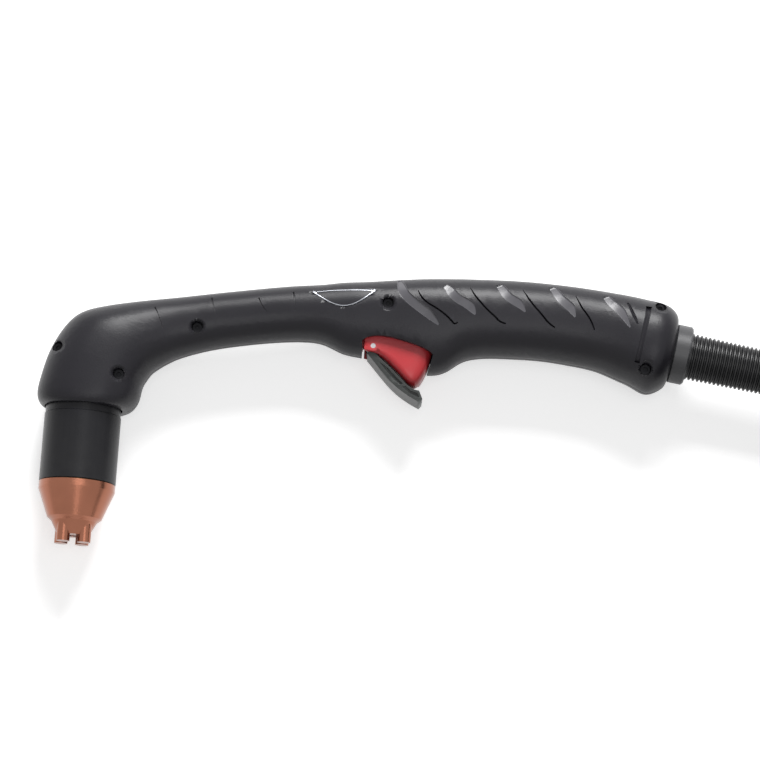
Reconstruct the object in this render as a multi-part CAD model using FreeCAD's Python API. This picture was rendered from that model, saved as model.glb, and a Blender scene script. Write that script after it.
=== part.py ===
import FreeCAD, Part
import math
import os

from FreeCAD import Placement, Rotation, Vector

os.makedirs("parts", exist_ok=True)

# A hand torch lying on its right side, with its lead wound beside it.
# The XY plane is the handle's parting plane. Y runs along the cap's axis, from the nozzle up into
# the head, X runs towards the tail and Z points out of the left side. The origin is the middle of
# the retaining cap's exposed barrel. All values are millimetres and degrees.

# Retaining cap and the handle's mouth round it
CAP_R = 18.25
CAP_EXPOSED = 33.0
CAP_WALL = 1.65
CAP_INSERTED = 5.4
CAP_GAP = 0.4
CAP_STEP = 0.3
CAP_EDGE = 0.4
MOUTH_RIM = 2.4
MOUTH_Y = CAP_EXPOSED / 2 + MOUTH_RIM
MOUTH_LIP_S = 0.9

# Fits and gaps
RUNNING_FIT = 0.08
SEAT_FIT = 0.03
BODY_GAP = 0.3

# Handle shells
WALL = 2.6
PARTING_CHAMFER = 0.35
SECTION_POWER = 2.3
CAVITY_FIRST = 1
CAVITY_LAST = 31
BADGE_DEPTH = 0.8
BADGE_PROUD = 0.4
BADGE_GAP = 0.15

# Handle screws
SCREW_R = 1.5
SCREW_HEAD_R = 2.4
SCREW_HEAD_H = 2.2
SCREW_REACH = 9.0
RECESS_R = 2.7
RECESS_DEPTH = 3.0
RECESS_LIP = 0.6
BOSS_R = 4.5

# Torch body, cathode and threaded ring, along the cap's axis
FLANGE_R = 17.0
FLANGE_T = 3.5
FLANGE_S = 6.5
RIB_T = 3.0
NOSE_R = 12.5
NOSE_S = -21.5
UPPER_R = 12.0
UPPER_TOP = 22.0
RING_R = 14.85
RING_BOTTOM = -18.0
CATHODE_R = 6.8
CATHODE_TOP = 26.0
PLUNGER_BORE_R = 4.3
PLUNGER_BORE_TOP = 4.0
GAS_BORE_R = 2.4
TUBE_SOCKET = 10.0
PLUNGER_HEAD = 6.0
PLUNGER_STEM_R = 1.6
PLUNGER_STEM_L = 6.5
ORING_R = 13.0
ORING_SECTION = 1.3
ORING_S = -19.6

# Consumables
SWIRL_R = 9.6
SWIRL_TOP = -12.0
NOZZLE_TOP = -26.0
SWIRL_BORE_R = 5.2
SWIRL_HOLES = 6
SWIRL_HOLE_R = 0.6
NOZZLE_FLANGE_R = 9.9
NOZZLE_FLANGE_T = 2.0
NOZZLE_R = 8.2
NOZZLE_TIP_R = 2.5
NOZZLE_TIP_S = -60.2
ORIFICE_R = 0.6
CHAMBER_R = 5.7
ELECTRODE_R = 4.8
ELECTRODE_TOP = -13.5
ELECTRODE_TIP = -50.6
EMITTER_R = 0.8
EMITTER_L = 3.0
BLOW_BACK = 2.5
INSERT_NOSE_R = 14.6
GAS_HOLES = 8
GAS_HOLE_R = 0.8
GAS_HOLE_RING_R = 12.2
SHIELD_BAND = 3.3
SHIELD_R = 18.2
SHIELD_STEP_R = 13.0
SHIELD_STEP_S = -52.3
SHIELD_NECK_R = 10.9
SHIELD_NECK_S = -54.0
SHIELD_END_R = 7.4
SHIELD_END_S = -60.5
SHIELD_WALL = 1.6
SHIELD_HOLE_R = 3.2
FOOT_R = 3.2
FOOT_RING_R = 7.05
FOOT_TIP_S = -64.0
FOOT_TOP_S = -54.4
FOOT_COUNT = 4
FOOT_ANGLE = 55.4

# Cap sensor
SENSOR_RING_R = 15.75
SENSOR_ROD_R = 0.9
SENSOR_ROD_L = 12.7
SENSOR_SIZE = (8.0, 10.0, 5.0)

# Pilot stud through the flange
PILOT_RING_R = 13.7
PILOT_STUD_R = 1.1
PILOT_STUD_L = 8.5
PILOT_LUG_R = 1.6
PILOT_LUG_T = 1.2

# Trigger, its pin and spring
PIVOT_X = 127.5
PIVOT_S = 42.5
PIN_R = 1.5
PIN_L = 19.0
PIN_BOSS_R = 3.6
EAR_R = 4.0
EAR_HALF = 5.0
TRIGGER_HALF = 11.0
TRIGGER_FRONT = 132.2
TRIGGER_BACK_R = 37.6
TRIGGER_TOP_S = 50.0
TRIGGER_GAP = 0.6
TRIGGER_EDGE_R = 1.0

# Safety lever on the trigger
LATCH_X = 136.4
LATCH_S = 38.6
LATCH_HUB_R = 3.2
LATCH_SWEEP_R = 4.9
LATCH_HALF = 9.2
LATCH_PIN_R = 1.2
LATCH_GAP = 0.4

# Start switch over the trigger
SWITCH_X = 157.0
SWITCH_S = 54.6
SWITCH_SIZE = (16.0, 8.6, 10.0)
BUTTON_X = 153.0
BUTTON_R = 2.2
BUTTON_DEPTH = 3.0

# Springs
SPRING_TURNS = 4
TRIGGER_SPRING_R = 2.5
TRIGGER_SPRING_WIRE = 0.7
SAFETY_SPRING_R = 2.1
SAFETY_SPRING_WIRE = 0.6
PLUNGER_SPRING_R = 3.0
PLUNGER_SPRING_WIRE = 0.8
SPRING_PITCH = 1.4

# Tail: collar, ribbed relief and lead, along the tail's own axis
TAIL_X = 280.0
TAIL_S = 46.85
TAIL_ANGLE = -8.5
TAIL_WALL = 8.0
COLLAR_R = 14.2
COLLAR_L = 8.0
RELIEF_R = 11.2
RELIEF_END_R = 10.4
RELIEF_ROOT = 1.0
RELIEF_END_L = 1.5
RELIEF_FLANGE_R = 12.9
RELIEF_FLANGE_T = 3.5
RIB_PITCH = 2.05
RIB_COUNT = 30
LEAD_R = 8.0
LEAD_BORE_GAP = 0.2
JACKET_START = 35.5
CLAMP_AT = 28.5
CLAMP_L = 7.0
CLAMP_HALF = 12.5
CLAMP_SCREW_AT = 10.8
CLAMP_SCREW_R = 1.25
CLAMP_SCREW_L = 12.0
CLAMP_HEAD_R = 1.6
CLAMP_HEAD_H = 1.8
CLAMP_EAR_T = 4.0
CLAMP_TOP = 3.0
CLAMP_SEAT_R = 2.4
CLAMP_SEAT_GAP = 1.0

# Lines inside the handle
TUBE_R = 3.2
TUBE_BORE_R = 2.2
NUT_R = 5.0
NUT_L = 9.0
HOSE_R = 2.6
WIRE_R = 0.9

# Lead's coil: six layers on the floor past the tail, entered at an angle from X
FLOOR_Z = -22.0
COIL_X = 453.3
COIL_Y = -58.6
COIL_OUTER_R = 113.5
COIL_PITCH = 16.5
COIL_LAYERS = 6
TURNS_PER_LAYER = 2
COIL_TURNS = 11.75
COIL_ENTRY = 87.6
COIL_LEAD_IN = 10.0

# Plug on the coil, along its own axis
PLUG_X = 553.1
PLUG_Y = -56.8
PLUG_ANGLE = -95.7
PLUG_R = 18.0
PLUG_WALL = 2.5
PLUG_SHELL_L = 62.0
PLUG_BOOT_L = 24.0
PLUG_BOOT_R = 12.5
PLUG_LIP = 2.0
PLUG_MOUTH_T = 3.0
PLUG_FLANGE_T = 6.0
PLUG_POST_R = 3.2
PLUG_CORE_R = 7.9
PLUG_CORE_L = 22.0
PLUG_NOSE_R = 13.5
PLUG_NOSE_L = 24.0
PLUG_SEAT_STEP = 0.6
PLUG_PIN_R = 4.5
PLUG_PIN_L = 20.0
PLUG_SIGNAL_R = 1.2
PLUG_SIGNAL_RING = 9.0
PLUG_SIGNAL_COUNT = 4
PLUG_BUTTON = (13.0, 9.0)
PLUG_BUTTON_AT = 64.0
PLUG_BUTTON_TRAVEL = 2.0
PLUG_BUTTON_PROUD = 3.0
PLUG_SCREW_AT = (34.0, 78.0)

# Reach of cutting tools past the handle's skin
TALL = 30.0

X_AXIS = Vector(1, 0, 0)
Y_AXIS = Vector(0, 1, 0)
Z_AXIS = Vector(0, 0, 1)

# Handle sections from the mouth to the tail: place of the middle as X and height over the mouth,
# heading of the path in degrees, half height on its outer side and on its inner side, half width
SECTIONS = [
    (0.9, MOUTH_LIP_S, 90, 20.1, 20.1, 20.1),
    (1.4, MOUTH_LIP_S + 2.7, 90, 23.2, 23.2, 21.5),
    (1.9, MOUTH_LIP_S + 6.5, 90, 24.4, 24.4, 22.0),
    (2.8, 13.4, 88, 24.4, 24.4, 22.0),
    (5.3, 21.6, 81, 24.5, 24.5, 21.7),
    (8.75, 28.6, 70.7, 24.1, 24.1, 21.0),
    (14.0, 34.5, 59.5, 23.2, 23.2, 19.8),
    (21.0, 37.8, 51, 20.6, 20.6, 18.2),
    (28.5, 40.3, 44, 18.1, 18.1, 16.6),
    (36.1, 42.2, 31.4, 15.7, 15.7, 15.2),
    (45.0, 44.3, 20.3, 14.2, 14.2, 14.3),
    (57.0, 47.1, 13.5, 13.4, 13.4, 13.8),
    (72.0, 50.0, 10.5, 13.1, 13.1, 13.6),
    (88.0, 52.6, 8, 13.15, 13.15, 13.8),
    (102.0, 54.2, 5.5, 13.5, 13.5, 14.3),
    (112.5, 54.8, 4, 14.1, 15.2, 15.0),
    (121.0, 55.4, 3.5, 15.0, 19.4, 15.4),
    (128.0, 56.2, 3.5, 14.9, 21.4, 15.8),
    (140.0, 57.0, 4, 15.4, 24.5, 16.3),
    (153.0, 57.6, 3.5, 16.4, 28.1, 17.0),
    (165.0, 58.0, 2, 17.1, 29.7, 17.3),
    (171.5, 58.0, 2, 17.5, 27.4, 17.4),
    (178.0, 58.0, 1, 17.9, 23.0, 17.5),
    (186.0, 57.8, 0, 18.4, 20.0, 17.5),
    (200.0, 57.7, 0, 18.9, 18.8, 17.5),
    (218.0, 57.6, -1, 18.7, 18.7, 17.6),
    (234.0, 56.5, -4, 18.8, 19.1, 18.0),
    (248.0, 54.3, -7, 19.6, 19.3, 19.0),
    (258.0, 52.0, TAIL_ANGLE, 20.6, 20.5, 20.3),
    (264.4, 49.3, TAIL_ANGLE, 22.2, 20.3, 21.3),
    (272.1, 48.1, TAIL_ANGLE, 21.8, 22.2, 22.0),
    (276.5, 47.4, TAIL_ANGLE, 20.2, 20.0, 20.4),
    (279.4, 46.95, TAIL_ANGLE, 17.2, 17.0, 17.2),
    (TAIL_X, TAIL_S, TAIL_ANGLE, 14.6, 14.6, 14.6),
]

# Handle screws, as X and height over the mouth
SCREWS = [
    (-13.6, 27.9),
    (17.0, 15.5),
    (52.0, 41.8),
    (142.2, 58.9),
    (272.6, 65.9),
    (266.4, 34.6),
]


def at(x, s, z=0.0):
    """Point at X and height s over the mouth."""
    return Vector(x, MOUTH_Y + s, z)


def rod(start, direction, radius, length):
    """Solid cylinder."""
    return Part.makeCylinder(radius, length, start, direction)


def block(x, s, z, size):
    """Box with its lowest corner at X, height over the mouth and Z."""
    return Part.makeBox(size[0], size[1], size[2], at(x, s, z))


def turned(profile):
    """Solid of revolution about the cap's axis from (radius, height over the mouth) points."""
    points = [at(radius, s) for radius, s in profile]
    face = Part.Face(Part.makePolygon(points + points[:1]))
    return face.revolve(Vector(0, 0, 0), Y_AXIS, 360)


def turned_x(profile):
    """Solid of revolution about the X axis from (place along X, radius) points."""
    points = [Vector(x, radius, 0) for x, radius in profile]
    face = Part.Face(Part.makePolygon(points + points[:1]))
    return face.revolve(Vector(0, 0, 0), X_AXIS, 360)


def plate(edges, z, thickness):
    """Flat face inside joined edges at height z, given a thickness along Z."""
    face = Part.Face(Part.Wire(edges))
    face.translate(Vector(0, 0, z))
    return face.extrude(Vector(0, 0, thickness))


def lines(points):
    """Straight edges from point to point."""
    return [Part.makeLine(a, b) for a, b in zip(points, points[1:])]


def curve(points):
    """Smooth edge through points, with its knots evenly spaced."""
    spline = Part.BSplineCurve()
    spline.interpolate(Points=points, Parameters=[float(i) for i in range(len(points))])
    return spline.toShape()


def fused(shapes):
    """One solid from several that touch or cross."""
    return shapes[0].fuse(shapes[1:]).removeSplitter()


def arc_edge(start, tangent, end):
    """Arc that leaves start along tangent and reaches end, or a line where they are in line."""
    chord = end - start
    along = chord / chord.Length
    side = tangent - along * tangent.dot(along)
    if side.Length < 1e-9:
        return Part.makeLine(start, end)
    angle = math.atan2(side.Length, tangent.dot(along))
    middle = (start + end) / 2 + side / side.Length * (chord.Length / 2 * math.tan(angle / 2))
    return Part.Arc(start, middle, end).toShape()


def biarc(start, leaving, end, arriving):
    """Two arcs that join two places and headings smoothly."""
    chord = end - start
    both = leaving + arriving
    bend = 2 * (1 - leaving.dot(arriving))
    reach = chord.dot(both)
    step = (-reach + math.sqrt(reach * reach + bend * chord.dot(chord))) / bend
    joint = (start + leaving * step + end - arriving * step) / 2
    last = arc_edge(end, arriving * -1, joint)
    return [arc_edge(start, leaving, joint), last]


def wound(place, turns, lead_in):
    """Edges of a winding: place gives a point at a turn, and both ends run straight."""
    steps = round(turns * 4)
    points = [place(i / 4) for i in range(steps + 1)]
    small = 1e-4
    headings = []
    for i in range(steps + 1):
        ahead = place(i / 4 + small) - place(i / 4 - small)
        headings.append(ahead / ahead.Length)
    edges = [Part.makeLine(points[0] - headings[0] * lead_in, points[0])]
    for i in range(steps):
        edges += biarc(points[i], headings[i], points[i + 1], headings[i + 1])
    edges.append(Part.makeLine(points[-1], points[-1] + headings[-1] * lead_in))
    return edges, headings


def rounded(points, name=None):
    """Straight runs through points with a tangent arc at each inner point."""
    edges = []
    radii = []
    last = points[0]
    for before, corner, after in zip(points, points[1:], points[2:]):
        back = before - corner
        ahead = after - corner
        shorter = min(back.Length, ahead.Length)
        turn = math.pi - back.getAngle(ahead)
        reach = 0.45 * shorter
        radii.append(reach / math.tan(turn / 2))
        first = corner + back / back.Length * reach
        second = corner + ahead / ahead.Length * reach
        edges.append(Part.makeLine(last, first))
        edges.append(arc_edge(first, back / -back.Length, second))
        last = second
    edges.append(Part.makeLine(last, points[-1]))
    if name:
        print(name, "bend radii", [round(r) for r in radii])
    return edges


def tube(edges, radius):
    """Round solid along joined edges."""
    path = Part.Wire(Part.__sortEdges__(edges))
    start = edges[0].valueAt(edges[0].FirstParameter)
    heading = edges[0].tangentAt(edges[0].FirstParameter)
    ring = Part.Wire([Part.makeCircle(radius, start, heading)])
    shell = Part.BRepOffsetAPI.MakePipeShell(path)
    shell.add(ring)
    shell.build()
    shell.makeSolid()
    return shell.shape()


def spring(middle, axis, radius, wire, turns, pitch):
    """Helical spring round an axis, centred on its middle."""
    side = axis.cross(X_AXIS if abs(axis.x) < 0.5 else Y_AXIS)
    other = axis.cross(side)

    def place(turn):
        angle = 2 * math.pi * turn
        round_it = side * math.cos(angle) + other * math.sin(angle)
        return middle + round_it * radius + axis * (pitch * (turn - turns / 2))

    edges, _ = wound(place, turns, wire)
    return tube(edges, wire / 2)


def section(station, inset, low, chamfer):
    """Closed half section of the handle, drawn in by inset, down to height low."""
    x, s, heading, outer, inner, half = station
    angle = math.radians(heading)
    out = Vector(-math.sin(angle), math.cos(angle), 0)
    middle = at(x, s)
    half_width = half - inset
    power = 2 / SECTION_POWER

    def rim(turn):
        across, up = math.cos(turn), math.sin(turn)
        reach = (outer if across > 0 else inner) - inset
        side = math.copysign(abs(across) ** power, across) * reach
        return middle + out * side + Z_AXIS * (half_width * up ** power)

    start = math.asin((PARTING_CHAMFER / half_width) ** (1 / power))
    count = 12
    points = [rim(start + (math.pi - 2 * start) * i / count) for i in range(count + 1)]
    top = middle + out * (outer - inset - chamfer)
    bottom = middle - out * (inner - inset - chamfer)
    drop = Z_AXIS * low
    knees = ([top], [bottom]) if chamfer else ([], [])
    upper = lines([top + drop] + knees[0] + [points[0]])
    under = lines([points[-1]] + knees[1] + [bottom + drop, top + drop])
    return Part.Wire(upper + [curve(points)] + under)


def skin(inset, low=-1.0, first=0, last=None, chamfer=0.0):
    """Left half of the handle's form, drawn in by inset, down to height low."""
    stations = SECTIONS[first:last]
    return Part.makeLoft([section(station, inset, low, chamfer) for station in stations], True, False)


def right(shape):
    """Mirror image across the parting plane."""
    return shape.mirror(Vector(0, 0, 0), Z_AXIS)


TAIL_SPOT = Placement(at(TAIL_X, TAIL_S), Rotation(Z_AXIS, TAIL_ANGLE))


def tail(shape):
    """Moves a shape from the X axis to the tail's axis."""
    placed = shape.copy()
    placed.Placement = TAIL_SPOT.multiply(placed.Placement)
    return placed


def tail_point(along, across=0.0, z=0.0):
    """Point by its place along and across the tail's axis."""
    return TAIL_SPOT.multVec(Vector(along, across, z))


parts = {}

# Handle shells: outer form less the hollow, with bosses and ribs inside
outer_form = skin(0.0, chamfer=PARTING_CHAMFER)
outer_form = outer_form.cut(Part.makeBox(500, 300, TALL, Vector(-100, -100, -TALL)))
hollow = skin(WALL, first=CAVITY_FIRST, last=CAVITY_LAST)
shell = outer_form.cut(hollow)

bosses = [rod(at(x, s), Z_AXIS, BOSS_R, TALL) for x, s in SCREWS]
bosses.append(rod(at(PIVOT_X, PIVOT_S, EAR_HALF + TRIGGER_GAP), Z_AXIS, PIN_BOSS_R, TALL))
bosses = [boss.common(outer_form) for boss in bosses]

rib_places = (FLANGE_S - RIB_T + 0.5, FLANGE_S + FLANGE_T)
rib_heights = (RIB_T - 0.5, RIB_T)
inside = hollow.common(Part.makeBox(400, 400, TALL, Vector(-60, -60, 0)))
for s, height in zip(rib_places, rib_heights):
    slab = block(-40, s, 0, (80, height, TALL))
    bosses.append(slab.common(inside))
switch_w, switch_h, switch_t = SWITCH_SIZE
for x in (SWITCH_X - switch_w / 4, SWITCH_X + switch_w / 4):
    rib = block(x - 1, SWITCH_S, switch_t / 2, (2, switch_h, TALL))
    bosses.append(rib.common(inside))
shell = shell.fuse(bosses)

# Openings common to both shells
rib_top = FLANGE_S + FLANGE_T + RIB_T
mouth_end = CAP_INSERTED - MOUTH_RIM + 0.6
head_bore = turned([
    (0, -2 * MOUTH_RIM),
    (CAP_R + CAP_GAP, -2 * MOUTH_RIM),
    (CAP_R + CAP_GAP, mouth_end),
    (RING_R + SEAT_FIT, mouth_end),
    (RING_R + SEAT_FIT, FLANGE_S),
    (FLANGE_R + SEAT_FIT, FLANGE_S),
    (FLANGE_R + SEAT_FIT, FLANGE_S + FLANGE_T),
    (UPPER_R + SEAT_FIT, FLANGE_S + FLANGE_T),
    (UPPER_R + SEAT_FIT, rib_top + 0.5),
    (0, rib_top + 0.5),
])
neck_bore = tail(rod(Vector(-TAIL_WALL - 3, 0, 0), X_AXIS, RELIEF_R + SEAT_FIT, TAIL_WALL + 6))
pin_bore = rod(at(PIVOT_X, PIVOT_S, -TALL), Z_AXIS, PIN_R + SEAT_FIT, TALL + PIN_L / 2)

# Arch in the side walls that shows the trigger, and the trigger's pocket behind them
PIVOT = at(PIVOT_X, PIVOT_S)
back_r = TRIGGER_BACK_R + TRIGGER_GAP


def round_pivot(radius, degrees):
    """Point on a circle about the trigger's pivot."""
    angle = math.radians(degrees)
    return PIVOT + Vector(radius * math.cos(angle), radius * math.sin(angle), 0)


arch_back = round_pivot(back_r, -10)
arch_low = round_pivot(back_r, -48)
arch_left = TRIGGER_FRONT - 1.0
arch_curve = curve([
    at(arch_left, 39.0), at(arch_left + 1.6, 42.0), at(139.5, 43.3), at(148.0, 42.2),
    at(156.0, 40.2), at(161.5, 38.2), arch_back,
])
arch_side = Part.Arc(arch_back, round_pivot(back_r, -30), arch_low).toShape()
arch_foot = lines([arch_low, at(arch_left, 8.0), at(arch_left, 39.0)])
arch = plate([arch_curve, arch_side] + arch_foot, -TALL, 2 * TALL)

pocket_top = round_pivot(back_r, 9)
pocket_side = Part.Arc(arch_low, round_pivot(back_r, -20), pocket_top).toShape()
pocket_rest = lines([
    pocket_top, at(158.5, TRIGGER_TOP_S + 4.4), at(arch_left, TRIGGER_TOP_S), at(arch_left, 20.0),
    arch_low,
])
pocket_half = TRIGGER_HALF + TRIGGER_GAP
pocket = plate([pocket_side] + pocket_rest, -pocket_half, 2 * pocket_half)
pocket = pocket.cut(rod(at(142.2, 58.9, -TALL), Z_AXIS, BOSS_R, 2 * TALL))

for cutter in (head_bore, neck_bore, pin_bore, arch.fuse(pocket)):
    shell = shell.cut(cutter)


# Seats for the badge on the left and for the lead clamp's screws on the right
def badge_edges(gap):
    """Badge's outline, drawn in by gap."""
    left = at(105.0 + 3 * gap, 62.4 - 0.6 * gap)
    corner = at(136.5 - 3 * gap, 65.0 - 1.2 * gap)
    low = [at(112.5, 58.2 + 1.2 * gap), at(120.8, 55.8 + gap), at(129.5, 59.2 + 1.2 * gap)]
    return [curve([left] + low + [corner]), curve([corner, at(120.8, 64.6 - gap), left])]


badge_prism = plate(badge_edges(0.0), 1.0, TALL)
badge_floor = skin(BADGE_DEPTH, 0.0, 12, 22)
left_shell = shell.cut(badge_prism.cut(badge_floor))

clamp_middle = -CLAMP_AT - CLAMP_L / 2
clamp_seats = []
for sign in (-1, 1):
    foot = tail_point(clamp_middle, sign * CLAMP_SCREW_AT, CLAMP_SEAT_GAP)
    clamp_seats.append(rod(foot, Z_AXIS, CLAMP_SEAT_R, TALL).common(outer_form))
right_shell = right(shell.fuse(clamp_seats))
clamp_screw_foot = CLAMP_EAR_T - CLAMP_SEAT_GAP - CLAMP_SCREW_L
for sign in (-1, 1):
    foot = tail_point(clamp_middle, sign * CLAMP_SCREW_AT, clamp_screw_foot)
    right_shell = right_shell.cut(rod(foot, Z_AXIS, CLAMP_SCREW_R, CLAMP_SCREW_L))


def surface_height(x, s):
    """Height of the left shell's outside over a place on the parting plane."""
    needle = rod(at(x, s), Z_AXIS, 0.05, TALL).common(outer_form)
    return max([0.0] + [corner.Z for corner in needle.Vertexes])


def recess_floor(x, s):
    """Height of a recess's floor, deep enough to bury the screw's head all round."""
    rim = []
    for i in range(12):
        angle = math.pi * i / 6
        rim.append(surface_height(x + RECESS_R * math.cos(angle), s + RECESS_R * math.sin(angle)))
    return min(surface_height(x, s) - RECESS_DEPTH, min(rim) - RECESS_LIP) - SCREW_HEAD_H


# Screws enter from the left, so that side has the recesses and the right side the blind holes
screw_solids = []
left_holes = []
right_holes = []
for x, s in SCREWS:
    seat = recess_floor(x, s)
    left_holes.append(rod(at(x, s, seat), Z_AXIS, RECESS_R, TALL))
    left_holes.append(rod(at(x, s, -1), Z_AXIS, SCREW_R + SEAT_FIT, TALL))
    right_holes.append(rod(at(x, s, -SCREW_REACH), Z_AXIS, SCREW_R, SCREW_REACH + 1))
    shank = rod(at(x, s, -SCREW_REACH), Z_AXIS, SCREW_R, SCREW_REACH + seat)
    head = rod(at(x, s, seat), Z_AXIS, SCREW_HEAD_R, SCREW_HEAD_H)
    socket = rod(at(x, s, seat + SCREW_HEAD_H / 2), Z_AXIS, SCREW_HEAD_R / 2, SCREW_HEAD_H)
    screw_solids.append(shank.fuse(head).removeSplitter().cut(socket))
left_shell = left_shell.cut(left_holes)
right_shell = right_shell.cut(right_holes)
parts["handle_screws"] = Part.makeCompound(screw_solids)

# Badge plate in its seat
badge = plate(badge_edges(BADGE_GAP), 1.0, TALL)
badge = badge.common(skin(-BADGE_PROUD, 0.0, 12, 22)).cut(badge_floor)
parts["badge_plate"] = badge.Solids[0]

# Torch body: insulating block with a flange held between the handle's ribs
torch_body = turned([
    (CATHODE_R + SEAT_FIT, UPPER_TOP),
    (UPPER_R, UPPER_TOP),
    (UPPER_R, FLANGE_S + FLANGE_T),
    (FLANGE_R, FLANGE_S + FLANGE_T),
    (FLANGE_R, FLANGE_S),
    (NOSE_R, FLANGE_S),
    (NOSE_R, NOSE_S),
    (SWIRL_R + SEAT_FIT, NOSE_S),
    (SWIRL_R + SEAT_FIT, SWIRL_TOP),
    (CATHODE_R + SEAT_FIT, SWIRL_TOP),
])
oring = Part.makeTorus(ORING_R, ORING_SECTION, at(0, ORING_S), Y_AXIS)
torch_body = torch_body.cut(oring)
parts["cap_o_ring"] = oring

# Threaded ring on the nose, where the cap screws on
parts["thread_ring"] = turned([
    (NOSE_R + SEAT_FIT, FLANGE_S),
    (RING_R, FLANGE_S),
    (RING_R, RING_BOTTOM + 0.8),
    (RING_R - 0.8, RING_BOTTOM),
    (NOSE_R + SEAT_FIT, RING_BOTTOM),
])

# Cathode block with the plunger's bore below and the gas tube's socket on top
cathode_bottom = ELECTRODE_TOP + BLOW_BACK + BODY_GAP
parts["cathode_block"] = turned([
    (PLUNGER_BORE_R, cathode_bottom),
    (CATHODE_R, cathode_bottom),
    (CATHODE_R, CATHODE_TOP),
    (TUBE_R + SEAT_FIT, CATHODE_TOP),
    (TUBE_R + SEAT_FIT, CATHODE_TOP - TUBE_SOCKET),
    (GAS_BORE_R, CATHODE_TOP - TUBE_SOCKET),
    (GAS_BORE_R, PLUNGER_BORE_TOP),
    (PLUNGER_BORE_R, PLUNGER_BORE_TOP),
])

# Plunger and its spring push the electrode against the nozzle
stem_base = ELECTRODE_TOP + PLUNGER_HEAD
parts["plunger"] = turned([
    (0, ELECTRODE_TOP),
    (PLUNGER_BORE_R - RUNNING_FIT, ELECTRODE_TOP),
    (PLUNGER_BORE_R - RUNNING_FIT, stem_base),
    (PLUNGER_STEM_R, stem_base),
    (PLUNGER_STEM_R, stem_base + PLUNGER_STEM_L),
    (0, stem_base + PLUNGER_STEM_L),
])
spring_half = SPRING_TURNS * SPRING_PITCH / 2 + PLUNGER_SPRING_WIRE / 2
plunger_spring_middle = at(0, stem_base + spring_half + 0.4)
parts["plunger_spring"] = spring(
    plunger_spring_middle, Y_AXIS, PLUNGER_SPRING_R, PLUNGER_SPRING_WIRE, SPRING_TURNS, SPRING_PITCH)

# Electrode with its emitter
electrode = turned([
    (0, ELECTRODE_TOP),
    (ELECTRODE_R, ELECTRODE_TOP),
    (ELECTRODE_R, ELECTRODE_TIP + 5.2),
    (2.0, ELECTRODE_TIP),
    (0, ELECTRODE_TIP),
])
emitter = rod(at(0, ELECTRODE_TIP), Y_AXIS, EMITTER_R, EMITTER_L)
parts["electrode"] = electrode.cut(emitter)
parts["hafnium_insert"] = emitter

# Swirl ring with a ring of gas holes
swirl = turned([
    (SWIRL_BORE_R, SWIRL_TOP),
    (SWIRL_R, SWIRL_TOP),
    (SWIRL_R, NOZZLE_TOP),
    (SWIRL_BORE_R, NOZZLE_TOP),
])
for i in range(SWIRL_HOLES):
    angle = 2 * math.pi * i / SWIRL_HOLES
    outward = Vector(math.cos(angle), 0, math.sin(angle))
    swirl = swirl.cut(rod(at(0, NOZZLE_TOP + 2.0), outward, SWIRL_HOLE_R, SWIRL_R + 1))
parts["swirl_ring"] = swirl

# Nozzle under the swirl ring
flange_under = NOZZLE_TOP - NOZZLE_FLANGE_T
parts["nozzle"] = turned([
    (CHAMBER_R, NOZZLE_TOP),
    (NOZZLE_FLANGE_R, NOZZLE_TOP),
    (NOZZLE_FLANGE_R, flange_under),
    (NOZZLE_R, flange_under),
    (NOZZLE_R, ELECTRODE_TIP + 7.6),
    (4.6, ELECTRODE_TIP - 2.4),
    (NOZZLE_TIP_R, NOZZLE_TIP_S + 2.7),
    (NOZZLE_TIP_R, NOZZLE_TIP_S),
    (ORIFICE_R, NOZZLE_TIP_S),
    (ORIFICE_R, ELECTRODE_TIP - 1.4),
    (2.2, ELECTRODE_TIP - 0.4),
    (CHAMBER_R, ELECTRODE_TIP + 5.6),
])

# Retaining cap: outer shell, and the insert with the thread inside it
cap_bottom = -MOUTH_RIM - CAP_EXPOSED
cap_top = CAP_INSERTED - MOUTH_RIM
cap_inner_r = CAP_R - CAP_WALL
cap_neck_r = CAP_R - CAP_STEP
barrel_top = -MOUTH_RIM - CAP_EDGE
parts["retaining_cap"] = turned([
    (cap_inner_r, cap_top),
    (cap_neck_r - CAP_EDGE, cap_top),
    (cap_neck_r, cap_top - CAP_EDGE),
    (cap_neck_r, barrel_top + CAP_STEP),
    (CAP_R, barrel_top),
    (CAP_R, cap_bottom + CAP_EDGE),
    (CAP_R - CAP_EDGE, cap_bottom),
    (cap_inner_r, cap_bottom),
])
insert_r = cap_inner_r - RUNNING_FIT
insert_bore = RING_R + RUNNING_FIT
nose_end = cap_bottom - SHIELD_BAND + 0.3
insert = turned([
    (insert_bore, cap_top - 1.5),
    (insert_r, cap_top - 1.5),
    (insert_r, cap_bottom),
    (INSERT_NOSE_R, cap_bottom),
    (INSERT_NOSE_R, nose_end),
    (NOZZLE_R + 0.5, nose_end),
    (NOZZLE_R + 0.5, flange_under - BODY_GAP),
    (NOZZLE_FLANGE_R + 0.4, flange_under - BODY_GAP),
    (NOZZLE_FLANGE_R + 0.4, NOZZLE_TOP + 0.8),
    (insert_bore, NOSE_S - 0.1),
])
for i in range(GAS_HOLES):
    angle = 2 * math.pi * i / GAS_HOLES
    place = at(GAS_HOLE_RING_R * math.cos(angle), nose_end - 1, GAS_HOLE_RING_R * math.sin(angle))
    insert = insert.cut(rod(place, Y_AXIS, GAS_HOLE_R, 16))
parts["cap_insert"] = insert

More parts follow.
